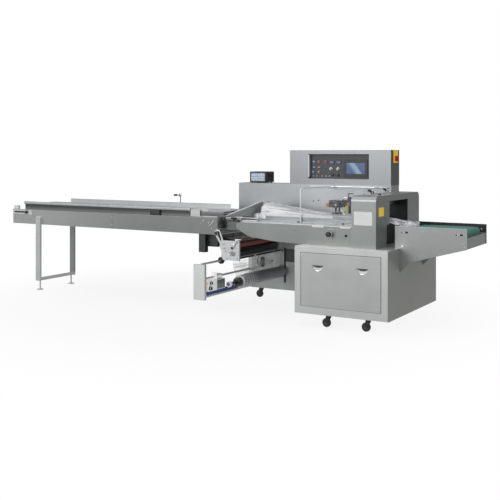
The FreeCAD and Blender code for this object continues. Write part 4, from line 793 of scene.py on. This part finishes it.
made("chuck_screws", [screw((reel_x + 30 * math.cos(a), roll_y - 54.6, reel_z + 30 * math.sin(a)), 4, 3)
                      for a in np.linspace(0.4, 6.7, 6)[:-1]], chrome, "bright_steel", "reel")
dressed("reel_end_cap", plate_white)
cap_y = span("reel_end_cap")[0][1]
made("cap_centre", [turned([(0, 19), (1.38, 18.6), (1.42, 1)], (reel_x, cap_y + 1.3, reel_z), 28)],
     moulded("cap_blue", (0.11, 0.14, 0.30), rough=0.35), "screen_blue", "reel")
mount_y = 972
made("mount_fittings", [drawn(oblong(40, 104, 19, 8), [(-1719, mount_y, 379), (-1719, mount_y - 10, 379)]),
                        screw((-1608, mount_y, 398), 9, 8)]
     + [screw((x, mount_y, z), 7, 5) for x, z in ((-1820, 500), (-1820, 200), (-1496, 500))], black,
     "black_metal")
turn = np.linspace(1.1, 3.9, 24)
guard = np.column_stack([-1719 + 66 * np.cos(turn), np.full(24, 964.0), 388 + 74 * np.sin(turn)])
made("mount_guard", [drawn(rod(5), guard, up=(0, 1, 0)),
                     drawn(rod(3.5), [(-1516, 966, 310), (-1516, 966, 480)], up=(0, 1, 0))], chrome,
     "bright_steel")
mount_back = span("reel_mount")[1][1]
made("mount_edge", [bar(-1478, -1463, mount_back - 5, mount_back - 0.5, 190, 530, 1, along=2)], dark,
     "black_metal")


# Reel cradle. An aluminium end plate hangs on three bright rods from the rear base. A blue rail and a
# white date coder are clamped on them, and a black knurled ring sets the reel sideways.
dressed("cradle_end_plate", sheet_steel("cradle_plate", (0.78, 0.79, 0.79), upright_grain, rough=0.4))
dressed("cradle_rods", sheet_steel("cradle_rod", (0.78, 0.79, 0.80), rough=0.40, metal=0.45))
dressed("cradle_rail", moulded("rail_blue", (0.018, 0.070, 0.30), rough=0.35))
plate_y = span("cradle_end_plate")[0][1]
made("cradle_screws", [screw((x, plate_y, z), 5, 3) for x, z in ((-1918, 428), (-1918, 404), (-1918, 134),
                                                                  (-1816, 134), (-1872, 133), (-1872, 300))],
     milled, "bright_steel")
ring_low, ring_high = span("reel_knob")
x, _, z = (ring_low + ring_high) / 2
grip = [(0, 10.2), (0, 22), (4, 33), (22, 33), (26, 28), (26, 17), (22, 15), (22, 10.2), (0, 10.2)]
ring = made("side_knob", [skin(lobed(grip, (x, ring_high[1], z), 16, 0.035, 96, 30), ends=False)],
            black, "black_plastic", "reel_knob")
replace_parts(ring, "reel_knob")
coder_y = span("coder")[0][1]
# Painted light: the coder's white case glows faintly so that its shaded side stays bright.
white_case = painted_glow(moulded("coder_white", (0.95, 0.95, 0.94), rough=0.4), (0.95, 0.95, 0.94), 0.28)
dressed("coder", white_case)
made("coder_knobs",
     [turned([(0, radius + 0.4), (proud - 3, radius + 0.4), (proud + 0.4, radius - 3), (proud + 0.4, 1)],
             (-1842, y, z), 32, (1, 0, 0))
      for y, z, radius, proud in ((214, 254, 17, 16), (202, 207, 20, 18))], black, "black_plastic")
# The yellow dot glows faintly too, painted light.
made("coder_dot", [turned([(0, 10), (3, 9), (3.4, 1)], (-1861, coder_y, 252), 20)], yellow, "switch_yellow")
made("coder_block", [bar(-1896.5, -1847.5, 326.4, 469.5, 178.4, 271.5, 6, along=1)],
     bright_steel("block_grey", (0.34, 0.35, 0.35), 0.35), "aluminium", bevel=2)
made("coder_plate", [bar(-1902.5, -1841.5, 318.5, 326.5, 178.4, 338.5, 2, along=1)]
     + [bar(-1892.5, -1851.5, 327, 420.5, z0, z1, 2, along=1) for z0, z1 in ((283.6, 289), (311, 322.4))],
     milled, "aluminium", bevel=0.8)
made("coder_panel", [bar(-1899, -1845, coder_y - 0.8, coder_y + 0.4, 184, 279, 4, along=1)], white_case,
     "white_plastic")


# Film path. Clear film climbs from the reel round both rollers to the table, and is folded to a flat tube
# with a standing seam. It is thin and wrinkles run along it; its whiter, less clear folds and wrinkle ridges
# are painted sheen.
def film_finish(name, veil, folds=(2.2, 26.0, 26.0)):
    """Clear film: stretched noise makes wrinkles, whose ridges are painted whiter and less clear than the
    flat film between them as highlights. The veil, how milky the film is and where it shows painted sheen, is
    one value or a function of the place."""
    material, place, surface = begun(name, Roughness=0.16, IOR=1.45)
    pulled = place.node("Mapping", Vector=place, Scale=folds)
    wrinkle = place.node("TexNoise", Vector=pulled, Scale=1.0, Detail=4.0, Roughness=0.62, Distortion=0.4)
    wrinkle_highlight = wrinkle.eased(0.42, 0.68)
    milk = veil(place) if callable(veil) else veil
    joined_to(surface, Base_Color=between(wrinkle_highlight, (0.80, 0.83, 0.85), (0.97, 0.98, 0.99)),
              Alpha=milk * 0.30 + wrinkle_highlight * milk,
              Normal=place.node("Bump", Strength=0.5, Distance=0.004, Height=wrinkle))
    return material


def film(name, rows, finish, around=False):
    """A piece of film from rows of points."""
    return made(name, [skin(rows, around=around, ends=False)], finish, "film_clear", smooth=80)


def web_veil(place):
    return ramp(place, 2, 330, 640, 0.34, 0.12)


# Painted sheen: the sleeve is whiter and less clear at its folds, on its crown and at its mouth, and fades in
# at its start.
def sleeve_sheen(place):
    fold = ramp(place, 1, 400, 412, 1.4, 0.0) + ramp(place, 1, 708, 714, 0.0, 0.95)
    crown = ramp(place, 1, 402, 440, 0.30, 1.5) * ramp(place, 0, -1180, -990, 1.0, 0.60)
    mouth = ramp(place, 0, -1370, -1330, 0.55, 0.0)
    return (fold + (crown + mouth)) * ramp(place, 0, -1414, -1390, 0.0, 1.0)


dressed("film_web", film_finish("film_web", web_veil, (26.0, 3.0, 26.0)))
tube_finish = film_finish("film_tube", sleeve_sheen)
tube_low, tube_high = span("film_tube")
table_z, near_fold, far_fold = 912.6, 392.0, 718.0
along_x = np.linspace(tube_low[0], tube_high[0], 90)[:, None]
around = np.linspace(0, 1, 60, endpoint=False)
swell = 88 * (1 - np.clip((along_x - tube_low[0]) / 670, 0, 1)) ** 1.3 + 11
across = np.where(around < 0.5, around * 2, 2 - around * 2)
crown = np.where(around < 0.5, 0.0, np.sin(math.pi * np.clip(across, 0, 1)) ** 0.28)
ripple = (2.2 * np.sin(along_x / 47 + across * 9) + 1.6 * np.sin(along_x / 19 - across * 17)) * crown
rows = np.stack([np.repeat(along_x, 60, 1),
                 near_fold + (far_fold - near_fold) * np.repeat(across[None], 90, 0),
                 table_z + crown * swell + ripple * np.clip(swell / 30, 0.25, 1)], axis=-1)
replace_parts(film("film_sleeve", rows, tube_finish, around=True), "film_tube")
fin_x = np.linspace(-758, tube_high[0], 60)
film("seam_fin", [np.stack([fin_x, line_y + bend * np.sin(fin_x / 31), np.full(60, z)], axis=-1)
                  for bend, z in ((0.3, 922.0), (0.8, 934.0), (1.6, 947.0))], tube_finish)
lap_x, lap_z = np.meshgrid(np.linspace(-1466, -1348, 24), np.linspace(866, 911, 14), indexing="ij")
lap = np.stack([lap_x, 381.5 + 1.6 * np.sin(lap_x / 9 + lap_z / 14), lap_z], axis=-1)
lap_piece = film("film_lap", lap, film_finish("film_lap", 1.5, (30.0, 30.0, 5.0)))
u, v = np.meshgrid(np.linspace(0, 1, 46), np.linspace(0, 1, 60), indexing="ij")
tail = np.stack([-338 + 350 * u + 14 * np.sin(7 * v + 3 * u), 402 + 300 * v + 60 * u * (v - 0.3),
                 904 - 58 * u ** 1.3 + (3 + 13 * u) * np.sin(23 * v + 5 * u) * np.sin(11 * u + 4 * v) ** 2
                 + 9 * u * np.sin(41 * v)], axis=-1)
# Painted light: the tail glows faintly so that its folds stay white.
tail_finish = painted_glow(film_finish("film_tail", 0.72, (9.0, 14.0, 14.0)), (0.86, 0.86, 0.94), 0.22)
tail_piece = film("film_tail", tail, tail_finish)


# Infeed. Two long folded side panels carry a polished bed. A chain runs in a slot along its middle, rails
# guide the goods, and a bent rod holds the photocell.
# Painted shade: the side panels go from a lighter tone at the infeed end to a darker one towards the head.
dressed("infeed_frame",
        sheet_steel("panel_sheet_painted_shade", (0.47, 0.48, 0.475), change=((0.27, 0.28, 0.275), 0, -4300, -2300)))
# Painted shade: the bed is dark down to below the side rail, where the rail's shadow falls, and lighter
# further down.
dressed("infeed_bed", sheet_steel("bed_steel_shaded", (0.10, 0.105, 0.105), rough=0.30, metal=0.8,
                                  change=((0.25, 0.26, 0.26), 2, 902, 862)))
dressed("infeed_guides", sheet_steel("guide_sheet", (0.62, 0.63, 0.63)))
made("guide_face", [bar(-1996, -1754, 280.6, 282.3, 876, 918, 2)],
     sheet_steel("guide_shade", (0.19, 0.20, 0.195)),
     "sheet_steel", bevel=0.3)
made("guide_joint", [bar(-2009, -1995, 279.4, 282.3, 870, 928, 1, along=2)], dark, "black_metal")
dressed("infeed_chain", bright_steel("chain_steel", (0.26, 0.26, 0.27), 0.35))
dressed("drive_cover", sheet_steel("drive_sheet", (0.066, 0.07, 0.07), rough=0.45))
dressed("photocell", moulded("photocell_black", (0.03, 0.03, 0.03), rough=0.4))
made("photocell_ring", [turned([(-2, 14), (-2, 19), (2, 19), (2, 14)], (-2594, 770, 1036), 32, (0, 1, 0))],
     plate_white, "white_plastic")
# Painted highlights: bright strips along the near panel's and the far rail's top edges.
made("panel_edge", [bar(-4490, -1802, 266.8, 272, 856.5, 859.5, 1)], lit_steel_sheet, "sheet_steel", bevel=0.5)
made("side_rail", [bar(-4323.4, -2119.6, 267.6, 288.4, 917.6, 945.4, 4)],
     sheet_steel("rail_sheet", (0.60, 0.62, 0.62), rough=0.28), "sheet_steel")
made("far_rail_edge", [bar(-4090, -1961, 747.5, 752.5, 957, 961, 1)], lit_steel_sheet, "sheet_steel", bevel=0.5)
made("bed_skin", [bar(-4322, -1746, y0, y1, 917.8, 918.7, 0.3) for y0, y1 in ((289, 509), (529, 749))],
     sheet_steel("bed_top", (0.50, 0.52, 0.53), rough=0.24), "sheet_steel")
side_y = 268
panel_screws = [(-4464, 835), (-4470, 720), (-4220, 800), (-3090, 820), (-3090, 740), (-3070, 820),
                (-3070, 740),
                (-1960, 830), (-1900, 815), (-1870, 760), (-1836, 740), (-1990, 800)]
made("panel_screws", [screw((x, side_y, z), 6, 3) for x, z in panel_screws], chrome, "bright_steel")
made("panel_joint", [bar(-3081, -3079, 267.6, 268.2, 705, 856, along=2)], dark, "black_metal")
made("eye_housing", [bar(-2592, -2483, 267.2, 268.4, 866, 914, 3)],
     moulded("housing_dark", (0.035, 0.038, 0.037), rough=0.5), "black_metal")
made("tensioner", [bar(-4478, -4296, 264.5, 268.2, 806, 852, 4, along=1)], milled, "aluminium", bevel=1)
# The slot's dark is painted shade.
made("tensioner_slot", [bar(-4466, -4318, 264.0, 264.7, 820, 837, 8, along=1)], dark, "black_metal")
made("tensioner_screw", [drawn(rod(4), [(-4464, 262, 828), (-4300, 262, 828)]),
                         turned([(0, 16), (12, 16), (14, 13), (26, 13), (26, 6), (30, 6), (30, 1)],
                                (-4300, 262, 828), 6,
                                (1, 0, 0))], black, "black_metal")
made("panel_stay", [bar(-4256, -4206, 265.5, 268.2, 800, 852, 4, along=1)], milled, "aluminium", bevel=1)
made("end_blocks", [bar(-4480, -4415, y0, y1, 858, 898, 4) for y0, y1 in ((271, 300), (738, 767))],
     plate_white, "white_plastic", bevel=2)
# Painted highlights: thin white strips where the latch catches the light.
marks = ((6, [(-1878, 266.6, 800), (-1846, 266.6, 838)]), (3, [(-1900, 266.6, 782), (-1884, 266.6, 800)]))
made("latch_marks", [drawn(oblong(wide, 1.2, 0.5, 2), path, up=(0, 1, 0)) for wide, path in marks],
     plate_white, "bright_steel")


# Leg frame. Square stainless tube, welded to a portal, on screw feet.
dressed("leg_frame", sheet_steel("leg_tube", (0.72, 0.73, 0.73), (650, 650, 5), rough=0.30))
leg_low, leg_high = span("leg_frame")
leg_x = (leg_low[0] + leg_high[0]) / 2
made("rear_leg_front", [bar(-4124, -4064, 769.5, 770.4, 128, 788, 0.3, along=2),
                        bar(-4063.4, -4062.6, 771, 794, 128, 788, 0.3, along=2)],
     sheet_steel("leg_shade", (0.36, 0.37, 0.37), (650, 650, 5)), "sheet_steel")
made("leg_bolts", [screw((leg_x, y, z), 8, 6, (0, side, 0))
                   for y, side in ((leg_low[1] + 0.1, -1), (leg_high[1] - 0.1, 1)) for z in (770, 728)],
     chrome, "bright_steel")


# Output conveyor. Two bent steel cheeks carry a green belt over two rollers. Each cheek has slots to
# tension the belt.
dressed("output_frame", sheet_steel("output_sheet", (0.37, 0.39, 0.385)))
dressed("belt_rollers", chrome)
green, place, surface = begun("green_belt", IOR=1.25)
weave = place.node("TexNoise", Vector=place, Scale=180.0, Detail=2.0)
wear = place.node("TexNoise", Vector=place, Scale=5.0, Detail=3.0)
joined_to(surface, Base_Color=between(wear, (0.085, 0.26, 0.20), (0.16, 0.37, 0.30)),
          Roughness=0.72 + (wear - 0.5) * 0.2,
          Normal=place.node("Bump", Strength=0.3, Distance=0.0006, Height=weave))
dressed("output_belt", green)
# Painted highlight: bright strips along the cheeks' top edges.
made("cheek_edge", [bar(-44, 560, y0, y1, 863, 866, 1) for y0, y1 in ((266.8, 272), (838.5, 843))],
     lit_steel_sheet, "sheet_steel", bevel=0.5)
made("cheek_screws",
     [screw((x, side_y, z), 6, 3) for x, z in ((190, 800), (520, 740), (540, 716), (20, 700))]
     + [screw((x, 838.8, z), 8, 5) for x, z in ((517, 819), (-100, 700))], chrome, "bright_steel")
slots = (40, 498)
made("slot_shadows", [bar(x - 24, x + 24, 269.0, 270.0, 806, 825, 9, along=1) for x in slots], dark,
     "black_metal")
made("belt_tensioners",
     [turned([(0, 8.5), (5, 8.5), (6.5, 7), (6.5, 4), (4, 4), (4, 1)], (x - 12, 267.4, 815.5), 6)
      for x in slots], chrome, "bright_steel")
made("cheek_shade", [bar(-40, 558, 838.2, 838.9, 796, 864, 0.3)],
     moulded("cheek_inside", (0.012, 0.014, 0.013), rough=0.7), "black_metal")


# Casters. Black pressed forks with dark-hubbed rubber wheels.
tyre_finish = moulded("caster_tread", (0.025, 0.025, 0.025), rough=0.6, grain=90.0)
hub_finish = moulded("caster_hub", (0.07, 0.07, 0.07), rough=0.5)
tread = [(0, 24), (0, 33), (1.5, 36.2), (5, 37.9), (19, 37.9), (22.5, 36.2), (24, 33), (24, 24), (21, 23),
         (21, 5.4),
         (3, 5.4), (3, 23), (0, 24)]
hub = [(0, 14), (2, 21), (2.4, 21), (2.4, 1)]
for name in ("front_left", "front_right", "rear_left", "rear_right"):
    dressed("caster_fork_" + name, black)
    wheel = "caster_wheel_" + name
    wheel_low, wheel_high = span(wheel)
    x, _, z = (wheel_low + wheel_high) / 2
    points, faces = turned(tread, (x, wheel_low[1], z), 48, (0, 1, 0))
    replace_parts(made("tread_" + name, [(points, faces[:-2])], tyre_finish, "wheel_rubber", wheel), wheel)
    made("hub_" + name, [turned(hub, (x, wheel_low[1] + 3.2, z), 32),
                         turned(hub, (x, wheel_high[1] - 3.2, z), 32, (0, 1, 0))],
         hub_finish, "wheel_rubber", wheel)
